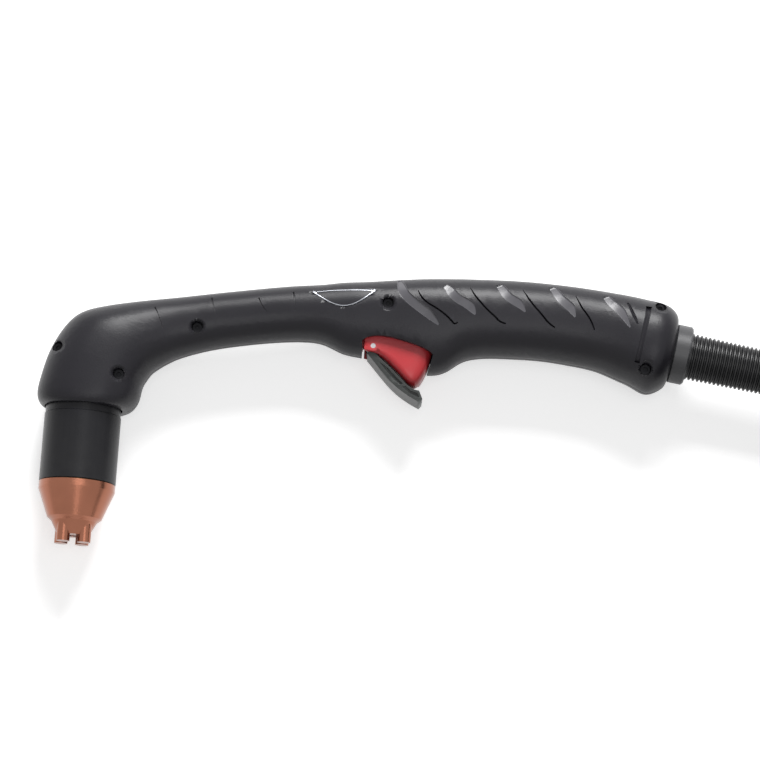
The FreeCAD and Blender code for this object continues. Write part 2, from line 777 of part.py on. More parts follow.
# Shield screwed on the insert's nose, with four feet round the orifice
band_top = cap_bottom - BODY_GAP
band_low = cap_bottom - SHIELD_BAND - BODY_GAP
inner_step = SHIELD_STEP_R - SHIELD_WALL - 0.2
shield = turned([
    (INSERT_NOSE_R, band_top),
    (SHIELD_R, band_top),
    (SHIELD_R, band_low),
    (SHIELD_STEP_R, SHIELD_STEP_S),
    (SHIELD_NECK_R, SHIELD_NECK_S),
    (SHIELD_END_R, SHIELD_END_S),
    (SHIELD_HOLE_R, SHIELD_END_S),
    (SHIELD_HOLE_R, SHIELD_END_S + SHIELD_WALL),
    (SHIELD_END_R - SHIELD_WALL, SHIELD_END_S + SHIELD_WALL),
    (SHIELD_NECK_R - SHIELD_WALL, SHIELD_NECK_S + 0.6),
    (inner_step, SHIELD_STEP_S + 0.8),
    (INSERT_NOSE_R, band_low),
])
feet = []
for i in range(FOOT_COUNT):
    angle = math.radians(FOOT_ANGLE + 360 / FOOT_COUNT * i)
    place = at(FOOT_RING_R * math.sin(angle), FOOT_TIP_S, FOOT_RING_R * math.cos(angle))
    feet.append(rod(place, Y_AXIS, FOOT_R, FOOT_TOP_S - FOOT_TIP_S))
feet_bore = turned([
    (0, FOOT_TIP_S - 1),
    (SHIELD_HOLE_R, FOOT_TIP_S - 1),
    (SHIELD_HOLE_R, SHIELD_END_S + SHIELD_WALL),
    (SHIELD_END_R - SHIELD_WALL, SHIELD_END_S + SHIELD_WALL),
    (SHIELD_NECK_R - SHIELD_WALL, SHIELD_NECK_S + 0.6),
    (0, SHIELD_NECK_S + 0.6),
])
parts["shield"] = fused([shield] + [foot.cut(feet_bore) for foot in feet])

# Cap sensor: a rod on the cap's end works a switch on the upper rib
sensor_x, sensor_h, sensor_t = SENSOR_SIZE
rod_bottom = cap_top + BODY_GAP
sensor_rod = rod(at(0, rod_bottom, -SENSOR_RING_R), Y_AXIS, SENSOR_ROD_R, SENSOR_ROD_L)
sensor_hole = rod(
    at(0, cap_top, -SENSOR_RING_R), Y_AXIS, SENSOR_ROD_R + RUNNING_FIT, SENSOR_ROD_L + 1.2)
sensor_body = block(-sensor_x / 2, rib_top, -UPPER_R - 0.2 - sensor_t, SENSOR_SIZE)
parts["cap_sensor_rod"] = sensor_rod
parts["cap_sensor_switch"] = sensor_body.cut(sensor_hole)
torch_body = torch_body.cut(sensor_hole)
right_shell = right_shell.cut(sensor_hole)

# Pilot stud through the flange, with the ring lug of the pilot wire on it
stud_hole = rod(at(0, FLANGE_S, PILOT_RING_R), Y_AXIS, PILOT_STUD_R, FLANGE_T + RIB_T)
stud = rod(at(0, FLANGE_S, PILOT_RING_R), Y_AXIS, PILOT_STUD_R, PILOT_STUD_L)
lug = rod(at(0, rib_top, PILOT_RING_R), Y_AXIS, PILOT_LUG_R, PILOT_LUG_T)
parts["pilot_terminal"] = fused([stud, lug])
parts["torch_body"] = torch_body.cut(stud_hole)
left_shell = left_shell.cut(stud_hole)

# Gas and power tube from the cathode to the neck, and its nut
tube_edges = rounded([at(0, CATHODE_TOP - TUBE_SOCKET), at(0, 44.0), at(52, 50.6), at(104, 56.0)])
tube_solid = tube(tube_edges, TUBE_R)
tube_bore = tube(tube_edges, TUBE_BORE_R)
parts["gas_tube"] = tube_solid.cut(tube_bore)
tube_end = at(104, 56.0)
tube_heading = (at(104, 56.0) - at(52, 50.6)).normalize()
nut_start = tube_end - tube_heading * (NUT_L - 4)
nut = rod(nut_start, tube_heading, NUT_R, NUT_L)
nut = nut.cut(rod(nut_start, tube_heading, TUBE_R + SEAT_FIT, NUT_L - 4))
nut = nut.cut(rod(tube_end, tube_heading, HOSE_R + SEAT_FIT, 4))
parts["tube_nut"] = nut

# Gas hose from the nut over the switch to the lead's jacket
jacket_end = tail_point(-JACKET_START)
hose_points = [
    tube_end, tube_end + tube_heading * 9, at(128, 64.9), at(146, 67.0), at(168, 66.0),
    at(195, 61.0), at(220, 55.6), tail_point(-JACKET_START - 12), jacket_end,
]
parts["gas_hose"] = tube(rounded(hose_points), HOSE_R)

# Pilot, switch and sensor wires, each in its own free path to the jacket
pilot_points = [
    at(0, FLANGE_S + PILOT_STUD_L, PILOT_RING_R), at(0, 27.0, PILOT_RING_R), at(14, 41.0, 8.5), at(40, 47.5, 7.0),
    at(70, 53.0, 7.0), at(104, 57.0, 7.8), at(132, 64.6, 6.8), at(165, 66.0, 6.8),
    at(200, 60.0, 7.0), at(220, 56.2, 5.8), tail_point(-JACKET_START - 10, 0, 5.2),
    tail_point(-JACKET_START, 0, 5.2),
]
parts["pilot_wire"] = tube(rounded(pilot_points), WIRE_R)
sensor_points = [
    at(0, rib_top + sensor_h, -14.6), at(0, 29.0, -14.6), at(14, 41.0, -8.5), at(40, 47.5, -7.0),
    at(70, 53.0, -7.0), at(104, 57.0, -7.8), at(132, 64.6, -6.8), at(165, 66.0, -6.8),
    at(200, 60.0, -7.0), at(220, 56.2, -5.8), tail_point(-JACKET_START - 10, 0, -5.2),
    tail_point(-JACKET_START, 0, -5.2),
]
parts["sensor_wire"] = tube(rounded(sensor_points), WIRE_R)

# Start switch, its button and wire
switch = block(SWITCH_X - switch_w / 2, SWITCH_S, -switch_t / 2, SWITCH_SIZE)
button_room = SWITCH_S + BUTTON_DEPTH + 3.7
switch = switch.cut(rod(at(BUTTON_X, SWITCH_S), Y_AXIS, BUTTON_R + RUNNING_FIT, button_room - SWITCH_S))
parts["start_switch"] = switch
button_foot = TRIGGER_TOP_S + BODY_GAP + 0.05
parts["start_switch_button"] = rod(
    at(BUTTON_X, button_foot), Y_AXIS, BUTTON_R, SWITCH_S + BUTTON_DEPTH - button_foot)
switch_points = [
    at(SWITCH_X + switch_w / 2, SWITCH_S + 3.0), at(173, SWITCH_S + 3.0), at(198, 51.0),
    at(222, 49.6), tail_point(-JACKET_START - 8, -5.0), tail_point(-JACKET_START, -5.0),
]
parts["switch_wire"] = tube(rounded(switch_points), WIRE_R)

# Trigger: a wide blade between the walls and a narrow ear on its pin
blade_front = curve([
    at(TRIGGER_FRONT, 36.3), at(136.5, 35.4), at(140.5, 34.0), at(144.5, 30.8), at(149.0, 26.8),
    at(153.5, 22.4), at(156.6, 20.6), round_pivot(TRIGGER_BACK_R, -33),
])
blade_top = round_pivot(TRIGGER_BACK_R, 5)
blade_back = Part.Arc(
    round_pivot(TRIGGER_BACK_R, -33), round_pivot(TRIGGER_BACK_R, -14), blade_top).toShape()
blade_rest = lines([
    blade_top, at(158.5, TRIGGER_TOP_S), at(146.0, TRIGGER_TOP_S), at(TRIGGER_FRONT, 47.5),
    at(TRIGGER_FRONT, 36.3),
])
blade = plate([blade_front, blade_back] + blade_rest, -TRIGGER_HALF, 2 * TRIGGER_HALF)
low_edges = []
for edge in blade.Edges:
    box = edge.BoundBox
    if box.ZLength < 0.01 and box.YMin < at(0, 25).y:
        low_edges.append(edge)
blade = blade.makeFillet(TRIGGER_EDGE_R, low_edges)
ear = rod(at(PIVOT_X, PIVOT_S, -EAR_HALF), Z_AXIS, EAR_R, 2 * EAR_HALF)
ear = ear.fuse(block(PIVOT_X, PIVOT_S - EAR_R, -EAR_HALF, (10, 2 * EAR_R, 2 * EAR_HALF)))
trigger = fused([blade, ear])
spring_room = SPRING_TURNS * (TRIGGER_SPRING_WIRE + 0.25) / 2 + TRIGGER_SPRING_WIRE
trigger = trigger.cut(rod(at(PIVOT_X, PIVOT_S, -spring_room), Z_AXIS, EAR_R + 0.6, 2 * spring_room))
trigger = trigger.cut(rod(at(PIVOT_X, PIVOT_S, -TALL), Z_AXIS, PIN_R + RUNNING_FIT, 2 * TALL))
latch_room = LATCH_HALF + LATCH_GAP
trigger = trigger.cut(rod(at(LATCH_X, LATCH_S, -latch_room), Z_AXIS, LATCH_SWEEP_R, 2 * latch_room))
trigger = trigger.cut(rod(at(LATCH_X, LATCH_S, -TALL), Z_AXIS, LATCH_PIN_R + SEAT_FIT, 2 * TALL))
parts["trigger"] = trigger
parts["trigger_pin"] = rod(at(PIVOT_X, PIVOT_S, -PIN_L / 2), Z_AXIS, PIN_R, PIN_L)
parts["trigger_spring"] = spring(
    PIVOT, Z_AXIS, TRIGGER_SPRING_R, TRIGGER_SPRING_WIRE, SPRING_TURNS, TRIGGER_SPRING_WIRE + 0.25)



def by_latch(along, up):
    """Point in the parting plane from the safety lever's pin."""
    return at(LATCH_X + along, LATCH_S + up)


# Safety lever under the trigger, on its own pin
latch_outer = curve([
    by_latch(-2.6, -3.6), by_latch(3.2, -10.0), by_latch(9.7, -16.8), by_latch(16.2, -21.7),
    by_latch(23.7, -25.7),
])
latch_inner = curve([
    by_latch(23.2, -20.0), by_latch(19.8, -19.2), by_latch(16.2, -16.7), by_latch(11.8, -12.5),
    by_latch(7.4, -8.5), by_latch(3.8, -5.5), by_latch(2.0, -3.4),
])
latch_rest = lines([by_latch(23.7, -25.7), by_latch(25.0, -24.0), by_latch(23.2, -20.0)])
latch_head = lines([by_latch(2.0, -3.4), by_latch(0, 0), by_latch(-2.6, -3.6)])
latch = plate([latch_outer] + latch_rest + [latch_inner] + latch_head, -LATCH_HALF, 2 * LATCH_HALF)
hub = rod(at(LATCH_X, LATCH_S, -LATCH_HALF), Z_AXIS, LATCH_HUB_R, 2 * LATCH_HALF)
latch = fused([latch, hub])
latch = latch.cut(rod(at(LATCH_X, LATCH_S, -TALL), Z_AXIS, LATCH_PIN_R + RUNNING_FIT, 2 * TALL))
safety_room = SPRING_TURNS * (SAFETY_SPRING_WIRE + 0.2) / 2 + SAFETY_SPRING_WIRE
latch = latch.cut(rod(at(LATCH_X, LATCH_S, -safety_room), Z_AXIS, LATCH_HUB_R + 0.1, 2 * safety_room))
parts["safety_lever"] = latch
parts["safety_pin"] = rod(
    at(LATCH_X, LATCH_S, -TRIGGER_HALF + 0.3), Z_AXIS, LATCH_PIN_R, 2 * TRIGGER_HALF - 0.6)
parts["safety_spring"] = spring(
    at(LATCH_X, LATCH_S), Z_AXIS, SAFETY_SPRING_R, SAFETY_SPRING_WIRE, SPRING_TURNS,
    SAFETY_SPRING_WIRE + 0.2)

# Tail: collar, ribbed relief, jacket and clamp
parts["tail_collar"] = tail(turned_x([
    (0, RELIEF_R + SEAT_FIT), (COLLAR_L, RELIEF_R + SEAT_FIT), (COLLAR_L, COLLAR_R - 0.8),
    (COLLAR_L - 0.8, COLLAR_R), (0.8, COLLAR_R), (0, COLLAR_R - 0.8),
]))
relief_bore = LEAD_R + LEAD_BORE_GAP
rings = [(-TAIL_WALL, RELIEF_R), (COLLAR_L + 1.0, RELIEF_R)]
for i in range(RIB_COUNT):
    share = i / (RIB_COUNT - 1)
    crest = RELIEF_R + (RELIEF_END_R - RELIEF_R) * share
    start = COLLAR_L + 1.0 + RIB_PITCH * i
    rings.append((start + 0.25 * RIB_PITCH, crest - RELIEF_ROOT))
    rings.append((start + 0.45 * RIB_PITCH, crest - RELIEF_ROOT))
    rings.append((start + 0.65 * RIB_PITCH, crest))
    rings.append((start + RIB_PITCH, crest))
circles = [Part.Wire([Part.makeCircle(r, Vector(x, 0, 0), X_AXIS)]) for x, r in rings]
relief = Part.makeLoft(circles, True, True)
relief_end = rings[-1][0]
relief_l = relief_end + RELIEF_END_L
relief = relief.fuse(rod(Vector(relief_end, 0, 0), X_AXIS, RELIEF_END_R, RELIEF_END_L))
flange = rod(Vector(-TAIL_WALL - RELIEF_FLANGE_T - 0.1, 0, 0), X_AXIS, RELIEF_FLANGE_R, RELIEF_FLANGE_T)
stub = rod(Vector(-TAIL_WALL - 0.1, 0, 0), X_AXIS, RELIEF_R, 0.1)
relief = fused([relief, flange, stub])
relief = relief.cut(rod(Vector(-30, 0, 0), X_AXIS, relief_bore, 30 + relief_l + 1))
relief = tail(relief)
for x, s in SCREWS[-2:]:
    relief = relief.cut(rod(at(x, s, -TALL), Z_AXIS, BOSS_R + 0.2, 2 * TALL))
parts["strain_relief"] = relief
exit_point = tail_point(relief_l)
parts["lead_inner_end"] = tail(rod(Vector(-JACKET_START, 0, 0), X_AXIS, LEAD_R, JACKET_START + relief_l))

clamp_start = Vector(clamp_middle - CLAMP_L / 2, -CLAMP_HALF, -CLAMP_SEAT_GAP)
clamp_h = LEAD_R + CLAMP_TOP + CLAMP_SEAT_GAP
clamp = Part.makeBox(CLAMP_L, 2 * CLAMP_HALF, clamp_h, clamp_start)
clamp = clamp.cut(rod(Vector(clamp_start.x - 1, 0, 0), X_AXIS, LEAD_R + SEAT_FIT, CLAMP_L + 2))
clamp_screws = []
for sign in (-1, 1):
    ear_middle = sign * (CLAMP_SCREW_AT + TALL / 2 - CLAMP_HEAD_R - 0.1)
    ear_room = Vector(clamp_start.x, ear_middle - TALL / 2, CLAMP_EAR_T - CLAMP_SEAT_GAP)
    clamp = clamp.cut(Part.makeBox(CLAMP_L, TALL, TALL, ear_room))
    foot = Vector(clamp_middle, sign * CLAMP_SCREW_AT, clamp_screw_foot)
    shank = rod(foot, Z_AXIS, CLAMP_SCREW_R, CLAMP_SCREW_L)
    clamp = clamp.cut(shank)
    head = rod(foot + Z_AXIS * CLAMP_SCREW_L, Z_AXIS, CLAMP_HEAD_R, CLAMP_HEAD_H)
    clamp_screws.append(fused([shank, head]))
parts["lead_clamp"] = tail(clamp)
parts["clamp_screws"] = tail(Part.makeCompound(clamp_screws))

# Coil on the floor: the turns spiral in and out by one pitch a turn, and climb a layer at each
# reversal
lead_z = FLOOR_Z + LEAD_R
coil_middle = Vector(COIL_X, COIL_Y, lead_z)


def coil_place(turn):
    """Centre of the lead at a turn of the coil."""
    layer = min(COIL_LAYERS - 1, max(0, int(turn // TURNS_PER_LAYER)))
    within = turn - layer * TURNS_PER_LAYER
    inward = within if layer % 2 == 0 else TURNS_PER_LAYER - within
    radius = COIL_OUTER_R - COIL_PITCH * inward
    height = 0.0
    for reversal in range(1, COIL_LAYERS):
        share = (turn - reversal * TURNS_PER_LAYER) * 2 + 0.5
        share = min(1.0, max(0.0, share))
        height += COIL_PITCH * (share - math.sin(2 * math.pi * share) / (2 * math.pi))
    angle = math.radians(COIL_ENTRY) - 2 * math.pi * turn
    return coil_middle + Vector(radius * math.cos(angle), radius * math.sin(angle), height)


coil_edges, coil_headings = wound(coil_place, COIL_TURNS, COIL_LEAD_IN)
coil = tube(coil_edges, LEAD_R)
parts["torch_lead_coil"] = coil

# Run of the lead from the relief down to the coil
coil_start = coil_place(0) - coil_headings[0] * COIL_LEAD_IN
run_points = [
    exit_point,
    tail_point(relief_l + 13.5),
    Vector(380.5, 52.2, -1.8),
    Vector(396.5, 53.5, -5.6),
    Vector(413.3, 55.9, -11.2),
    coil_start - coil_headings[0] * 17.3,
    coil_start,
]
parts["torch_lead_run"] = tube(rounded(run_points, "torch_lead_run"), LEAD_R)

# Tail end of the lead, over the coil to the plug
plug_z = lead_z + COIL_PITCH * (COIL_LAYERS - 1) + LEAD_R + PLUG_R
plug_spot = Placement(Vector(PLUG_X, PLUG_Y, plug_z), Rotation(Z_AXIS, PLUG_ANGLE))
coil_end = coil_place(COIL_TURNS) + coil_headings[-1] * COIL_LEAD_IN
tail_points = [
    coil_end,
    coil_end + coil_headings[-1] * 13.5,
    Vector(348.1, -8.5, 68.6),
    Vector(361.2, 20.8, 69.2),
    Vector(384.7, 44.7, 70.4),
    Vector(417.9, 59.8, 72.7),
    Vector(472.9, 61.6, 79.3),
    Vector(506.0, 51.6, 85.2),
    Vector(532.9, 30.3, 89.7),
    Vector(550.2, 0.4, 92.9),
    plug_spot.multVec(Vector(-23.1, 0, 0)),
    plug_spot.multVec(Vector(0, 0, 0)),
]
parts["torch_lead_tail"] = tube(rounded(tail_points, "torch_lead_tail"), LEAD_R)


def plug(shape):
    """Moves a shape from the X axis to the plug's place on the coil."""
    placed = shape.copy()
    placed.Placement = plug_spot.multiply(placed.Placement)
    return placed


# Plug boot: tapered relief over the lead's end, with a lip behind the shells' mouth
shell_start = PLUG_BOOT_L
shell_end = shell_start + PLUG_SHELL_L
mouth_inner = shell_start + PLUG_MOUTH_T
boot_bore = LEAD_R + LEAD_BORE_GAP
boot = turned_x([
    (0, boot_bore), (0, LEAD_R + 2.2), (shell_start - 1, PLUG_BOOT_R), (mouth_inner, PLUG_BOOT_R),
    (mouth_inner, PLUG_BOOT_R + PLUG_LIP), (mouth_inner + 3, PLUG_BOOT_R + PLUG_LIP),
    (mouth_inner + 3, boot_bore),
])
parts["plug_boot"] = plug(boot)

# Lead's end inside the plug, bared to its hose behind the boot
lead_bare = mouth_inner + 3
hose_end = shell_end - PLUG_CORE_L - 8
plug_lead = fused([
    rod(Vector(0, 0, 0), X_AXIS, LEAD_R, lead_bare),
    rod(Vector(lead_bare, 0, 0), X_AXIS, HOSE_R, hose_end - lead_bare),
])
parts["plug_lead_end"] = plug(plug_lead)

# Plug shells: two halves round the contact block
shell_inner_r = PLUG_R - PLUG_WALL
nose_seat_r = PLUG_NOSE_R - PLUG_SEAT_STEP
flange_start = shell_end - PLUG_FLANGE_T
form = turned_x([
    (shell_start, 0), (shell_start, PLUG_BOOT_R + 2.6), (shell_start + 4, PLUG_R - 1.0),
    (shell_start + 10, PLUG_R), (shell_end - 1, PLUG_R), (shell_end, PLUG_R - 1.0), (shell_end, 0),
])
room = turned_x([
    (shell_start - 1, 0), (shell_start - 1, PLUG_BOOT_R + SEAT_FIT),
    (mouth_inner, PLUG_BOOT_R + SEAT_FIT), (mouth_inner, shell_inner_r - 0.6),
    (mouth_inner + 4, shell_inner_r), (flange_start, shell_inner_r),
    (flange_start, nose_seat_r + SEAT_FIT), (shell_end + 1, nose_seat_r + SEAT_FIT), (shell_end + 1, 0),
])
button_l, button_w = PLUG_BUTTON
post_y = shell_inner_r - 2.6
body = form.cut(room)
posts = []
for x in PLUG_SCREW_AT:
    for side in (-1, 1):
        posts.append(rod(Vector(x, side * post_y, -TALL), Z_AXIS, PLUG_POST_R, 2 * TALL))
inner_room = turned_x([
    (mouth_inner + 4, 0), (mouth_inner + 4, PLUG_R - 1), (flange_start - 1, PLUG_R - 1),
    (flange_start - 1, 0),
])
posts = [post.common(form).common(inner_room) for post in posts]
body = fused([body] + posts)
upper_half = Part.makeBox(200, 100, 50, Vector(-20, -50, 0))
lower_half = Part.makeBox(200, 100, 50, Vector(-20, -50, -50))
upper = body.common(upper_half)
lower = body.common(lower_half)
slot = Part.makeBox(
    button_l + 2 * BODY_GAP, button_w + 2 * BODY_GAP, TALL,
    Vector(PLUG_BUTTON_AT - BODY_GAP, -button_w / 2 - BODY_GAP, 5.0))
upper = upper.cut(slot)
plug_screws = []
for x in PLUG_SCREW_AT:
    for side in (-1, 1):
        y = side * post_y
        top = math.sqrt(PLUG_R ** 2 - y ** 2) - 2.6
        upper = upper.cut(rod(Vector(x, y, top - 1.5), Z_AXIS, 2.2, TALL))
        upper = upper.cut(rod(Vector(x, y, 0), Z_AXIS, 1.2, TALL))
        lower = lower.cut(rod(Vector(x, y, -5), Z_AXIS, 1.2, 5))
        shank = rod(Vector(x, y, -5), Z_AXIS, 1.2, 5 + top - 1.5)
        plug_screws.append(fused([shank, rod(Vector(x, y, top - 1.5), Z_AXIS, 2.0, 1.5)]))
parts["plug_upper_shell"] = plug(upper)
parts["plug_lower_shell"] = plug(lower)
parts["plug_screws"] = plug(Part.makeCompound(plug_screws))

# Plug nose: insulating barrel with its contacts
nose_start = shell_end - PLUG_CORE_L
nose_tip = shell_end + PLUG_NOSE_L
barrel_start = shell_end + BODY_GAP + 0.1
nose = turned_x([
    (nose_start, 0), (nose_start, PLUG_CORE_R), (flange_start, PLUG_CORE_R),
    (flange_start, nose_seat_r), (barrel_start, nose_seat_r), (barrel_start, PLUG_NOSE_R),
    (nose_tip - 0.8, PLUG_NOSE_R), (nose_tip, PLUG_NOSE_R - 0.8), (nose_tip, 0),
])
nose = nose.cut(rod(Vector(nose_tip - PLUG_PIN_L, 0, 0), X_AXIS, PLUG_PIN_R, PLUG_PIN_L + 1))
nose = nose.cut(rod(Vector(nose_start - 1, 0, 0), X_AXIS, PLUG_PIN_R - 1.5, PLUG_CORE_L + PLUG_NOSE_L + 2))
signals = []
for i in range(PLUG_SIGNAL_COUNT):
    angle = 2 * math.pi * (i + 0.5) / PLUG_SIGNAL_COUNT
    y, z = PLUG_SIGNAL_RING * math.cos(angle), PLUG_SIGNAL_RING * math.sin(angle)
    pin = rod(Vector(shell_end - 4, y, z), X_AXIS, PLUG_SIGNAL_R, PLUG_NOSE_L + 1)
    nose = nose.cut(pin)
    nose = nose.cut(rod(Vector(nose_tip - 6, y, z), X_AXIS, PLUG_SIGNAL_R + 0.7, 7))
    signals.append(pin)
parts["plug_nose"] = plug(nose)
main_pin = rod(Vector(nose_start - 8, 0, 0), X_AXIS, PLUG_PIN_R - 1.5, 8 + PLUG_CORE_L + PLUG_NOSE_L - PLUG_PIN_L)
main_pin = main_pin.fuse(rod(Vector(nose_tip - PLUG_PIN_L, 0, 0), X_AXIS, PLUG_PIN_R - 0.6, PLUG_PIN_L - 3))
main_pin = main_pin.removeSplitter()
main_pin = main_pin.cut(rod(Vector(nose_start - 9, 0, 0), X_AXIS, 1.4, 60))
parts["plug_gas_pin"] = plug(main_pin)
parts["plug_signal_pins"] = plug(Part.makeCompound(signals))

# Latch button in the upper shell, on its spring
button_top = PLUG_R + PLUG_BUTTON_PROUD
button_foot_z = PLUG_CORE_R + PLUG_BUTTON_TRAVEL + 3.2
button = Part.makeBox(
    button_l, button_w, button_top - button_foot_z, Vector(PLUG_BUTTON_AT, -button_w / 2, button_foot_z))
button = button.makeFillet(1.2, [edge for edge in button.Edges if edge.BoundBox.ZMin > button_top - 0.01])
button_lip = Part.makeBox(
    button_l + 3, button_w, 1.2, Vector(PLUG_BUTTON_AT - 1.5, -button_w / 2, button_foot_z))
parts["plug_latch_button"] = plug(fused([button, button_lip]))
parts["plug_latch_spring"] = plug(spring(
    Vector(PLUG_BUTTON_AT + button_l / 2, 0, PLUG_CORE_R + 1.7), Z_AXIS, 2.6, 0.5, 3, 0.75))

parts["handle_left_shell"] = left_shell
parts["handle_right_shell"] = right_shell

for name, shape in parts.items():
    shape.exportStep("parts/" + name + ".step")
    print(name, "valid" if shape.isValid() else "INVALID", len(shape.Solids), round(shape.Volume, 1))

# Cord figures: length of each stretch and the coil's least gap to itself
for name, edges in (
    ("torch_lead_run", rounded(run_points)),
    ("torch_lead_coil", coil_edges),
    ("torch_lead_tail", rounded(tail_points)),
):
    length = sum(edge.Length for edge in edges)
    area = math.pi * LEAD_R ** 2
    print(name, "length", round(length, 1), "volume over section times length",
          round(parts[name].Volume / (area * length), 4))

per_turn = 72
samples = [coil_place(i / per_turn) for i in range(int(COIL_TURNS * per_turn) + 1)]
least = 1e9
for i, first in enumerate(samples):
    for second in samples[i + per_turn // 2:]:
        least = min(least, first.distanceToPoint(second))
print("torch_lead_coil least gap to itself", round(least - 2 * LEAD_R, 2))
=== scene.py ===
import math

import bpy
from mathutils import Matrix, Vector
from mathutils.kdtree import KDTree


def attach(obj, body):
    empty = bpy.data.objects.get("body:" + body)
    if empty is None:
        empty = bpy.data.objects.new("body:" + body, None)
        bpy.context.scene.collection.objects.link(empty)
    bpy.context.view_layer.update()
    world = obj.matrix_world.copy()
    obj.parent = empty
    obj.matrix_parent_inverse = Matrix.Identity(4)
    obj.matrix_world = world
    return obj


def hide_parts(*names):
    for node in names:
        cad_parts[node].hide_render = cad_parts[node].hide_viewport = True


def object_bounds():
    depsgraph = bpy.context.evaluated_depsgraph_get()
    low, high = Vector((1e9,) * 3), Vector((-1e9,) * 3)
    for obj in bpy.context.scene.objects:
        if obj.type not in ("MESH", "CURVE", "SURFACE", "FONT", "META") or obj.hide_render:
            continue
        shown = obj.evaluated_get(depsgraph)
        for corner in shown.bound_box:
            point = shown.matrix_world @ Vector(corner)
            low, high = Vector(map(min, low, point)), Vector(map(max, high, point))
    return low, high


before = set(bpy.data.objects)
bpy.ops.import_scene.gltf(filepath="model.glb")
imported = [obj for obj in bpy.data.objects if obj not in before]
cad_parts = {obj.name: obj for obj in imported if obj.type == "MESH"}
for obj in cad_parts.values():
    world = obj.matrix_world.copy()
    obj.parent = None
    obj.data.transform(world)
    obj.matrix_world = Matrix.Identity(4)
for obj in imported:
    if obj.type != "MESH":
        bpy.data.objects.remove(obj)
cad_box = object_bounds()
bpy.ops.object.select_all(action="DESELECT")

# Camera: stands over the torch's left side, a little towards the nozzle's side and slightly rolled,
# with a long lens.
tilt = math.radians(78.5)
roll = math.radians(3.7)
aim = Vector((0.1407, 0.0432, 0.0))
away = Vector((0, -math.cos(tilt), math.sin(tilt)))
level_up = Vector((0, math.sin(tilt), math.cos(tilt)))
level_side = Vector((1, 0, 0))
camera_side = level_side * math.cos(roll) + level_up * math.sin(roll)
camera_up = level_up * math.cos(roll) - level_side * math.sin(roll)
distance = 1.4
frame_width = 0.365
sensor_width = 36
bpy.ops.object.camera_add()
camera = bpy.context.object
camera.name = "camera"
camera.data.lens = sensor_width * distance / frame_width
turn = Matrix((camera_side, camera_up, away)).transposed().to_4x4()
camera.matrix_world = Matrix.Translation(aim + away * distance) @ turn
bpy.context.scene.camera = camera
bpy.context.scene.view_settings.view_transform = "Standard"


# Floor: one pale sheet under the torch. It keeps a soft shadow and reads as white to the camera and
# in the copper.
def seen_rays(nodes, links):
    """Socket that is 1 on camera, glossy and transmission rays, and 0 on all others."""
    path = nodes.new("ShaderNodeLightPath")
    seen = path.outputs["Is Camera Ray"]
    for kind in ("Is Glossy Ray", "Is Transmission Ray"):
        either = nodes.new("ShaderNodeMath")
        either.operation = "MAXIMUM"
        links.new(seen, either.inputs[0])
        links.new(path.outputs[kind], either.inputs[1])
        seen = either.outputs[0]
    return seen


floor_z = cad_box[0].z - 0.0002
bpy.ops.mesh.primitive_plane_add(size=14, location=(0.3, 0, floor_z))
floor = bpy.context.object
floor.name = "floor"
floor_paint = bpy.data.materials.new("floor paint")
floor_paint.use_nodes = True
nodes, links = floor_paint.node_tree.nodes, floor_paint.node_tree.links
nodes.clear()
sheet = nodes.new("ShaderNodeBsdfDiffuse")
sheet.inputs["Color"].default_value = (0.86, 0.86, 0.86, 1)
lift = nodes.new("ShaderNodeEmission")
lift.inputs["Color"].default_value = (1, 1, 1, 1)
strength = nodes.new("ShaderNodeMath")
strength.operation = "MULTIPLY"
strength.inputs[1].default_value = 0.6
both = nodes.new("ShaderNodeAddShader")
floor_out = nodes.new("ShaderNodeOutputMaterial")
links.new(seen_rays(nodes, links), strength.inputs[0])
links.new(strength.outputs[0], lift.inputs["Strength"])
links.new(sheet.outputs[0], both.inputs[0])
links.new(lift.outputs[0], both.inputs[1])
links.new(both.outputs[0], floor_out.inputs["Surface"])
floor.data.materials.append(floor_paint)

# Surroundings: an even pale room, white where the camera or a shiny surface sees it.
world = bpy.data.worlds.new("room")
bpy.context.scene.world = world
world.use_nodes = True
nodes, links = world.node_tree.nodes, world.node_tree.links
room = nodes["Background"]
room.inputs["Color"].default_value = (1, 1, 1, 1)
amount = nodes.new("ShaderNodeMapRange")
amount.inputs["To Min"].default_value = 0.2
amount.inputs["To Max"].default_value = 1.0
links.new(seen_rays(nodes, links), amount.inputs["Value"])
links.new(amount.outputs[0], room.inputs["Strength"])


# Lamps: one broad soft box past the top of the handle, one weaker panel over the camera's side.
def soft_box(name, place, look_at, size, watts):
    """Adds a square soft lamp that faces a point."""
    bpy.ops.object.light_add(type="AREA", location=place)
    lamp = bpy.context.object
    lamp.name = name
    lamp.data.shape = "SQUARE"
    lamp.data.size = size
    lamp.data.energy = watts
    facing = Vector(place) - Vector(look_at)
    lamp.rotation_euler = facing.to_track_quat("Z", "Y").to_euler()


soft_box("key panel", (0.22, 1.15, 0.78), (0.14, 0.05, 0), 0.55, 24.0)
soft_box("over panel", (0.35, -0.25, 1.9), (0.14, 0.04, 0), 0.9, 6.0)


# Lead: one rubber-jacketed cable, 16 mm thick and 7.6 m long. It drops from the relief to the floor,
# lies wound in six layers and rises over the coil to its plug.
def in_metres(*place):
    """Vector in metres from millimetres."""
    return Vector(place) / 1000


mouth_y = 18.9
tail_angle = math.radians(-8.5)
tail_axis = Vector((math.cos(tail_angle), math.sin(tail_angle), 0))
tail_start = in_metres(280.0, mouth_y + 46.85, 0)
relief_end = tail_start + tail_axis * 0.072
coil_middle = in_metres(453.3, -58.6, -14.0)
turns, turns_per_layer, layers, pitch = 11.75, 2, 6, 0.0165
outer_radius = 0.1135
first_angle = math.radians(87.6)


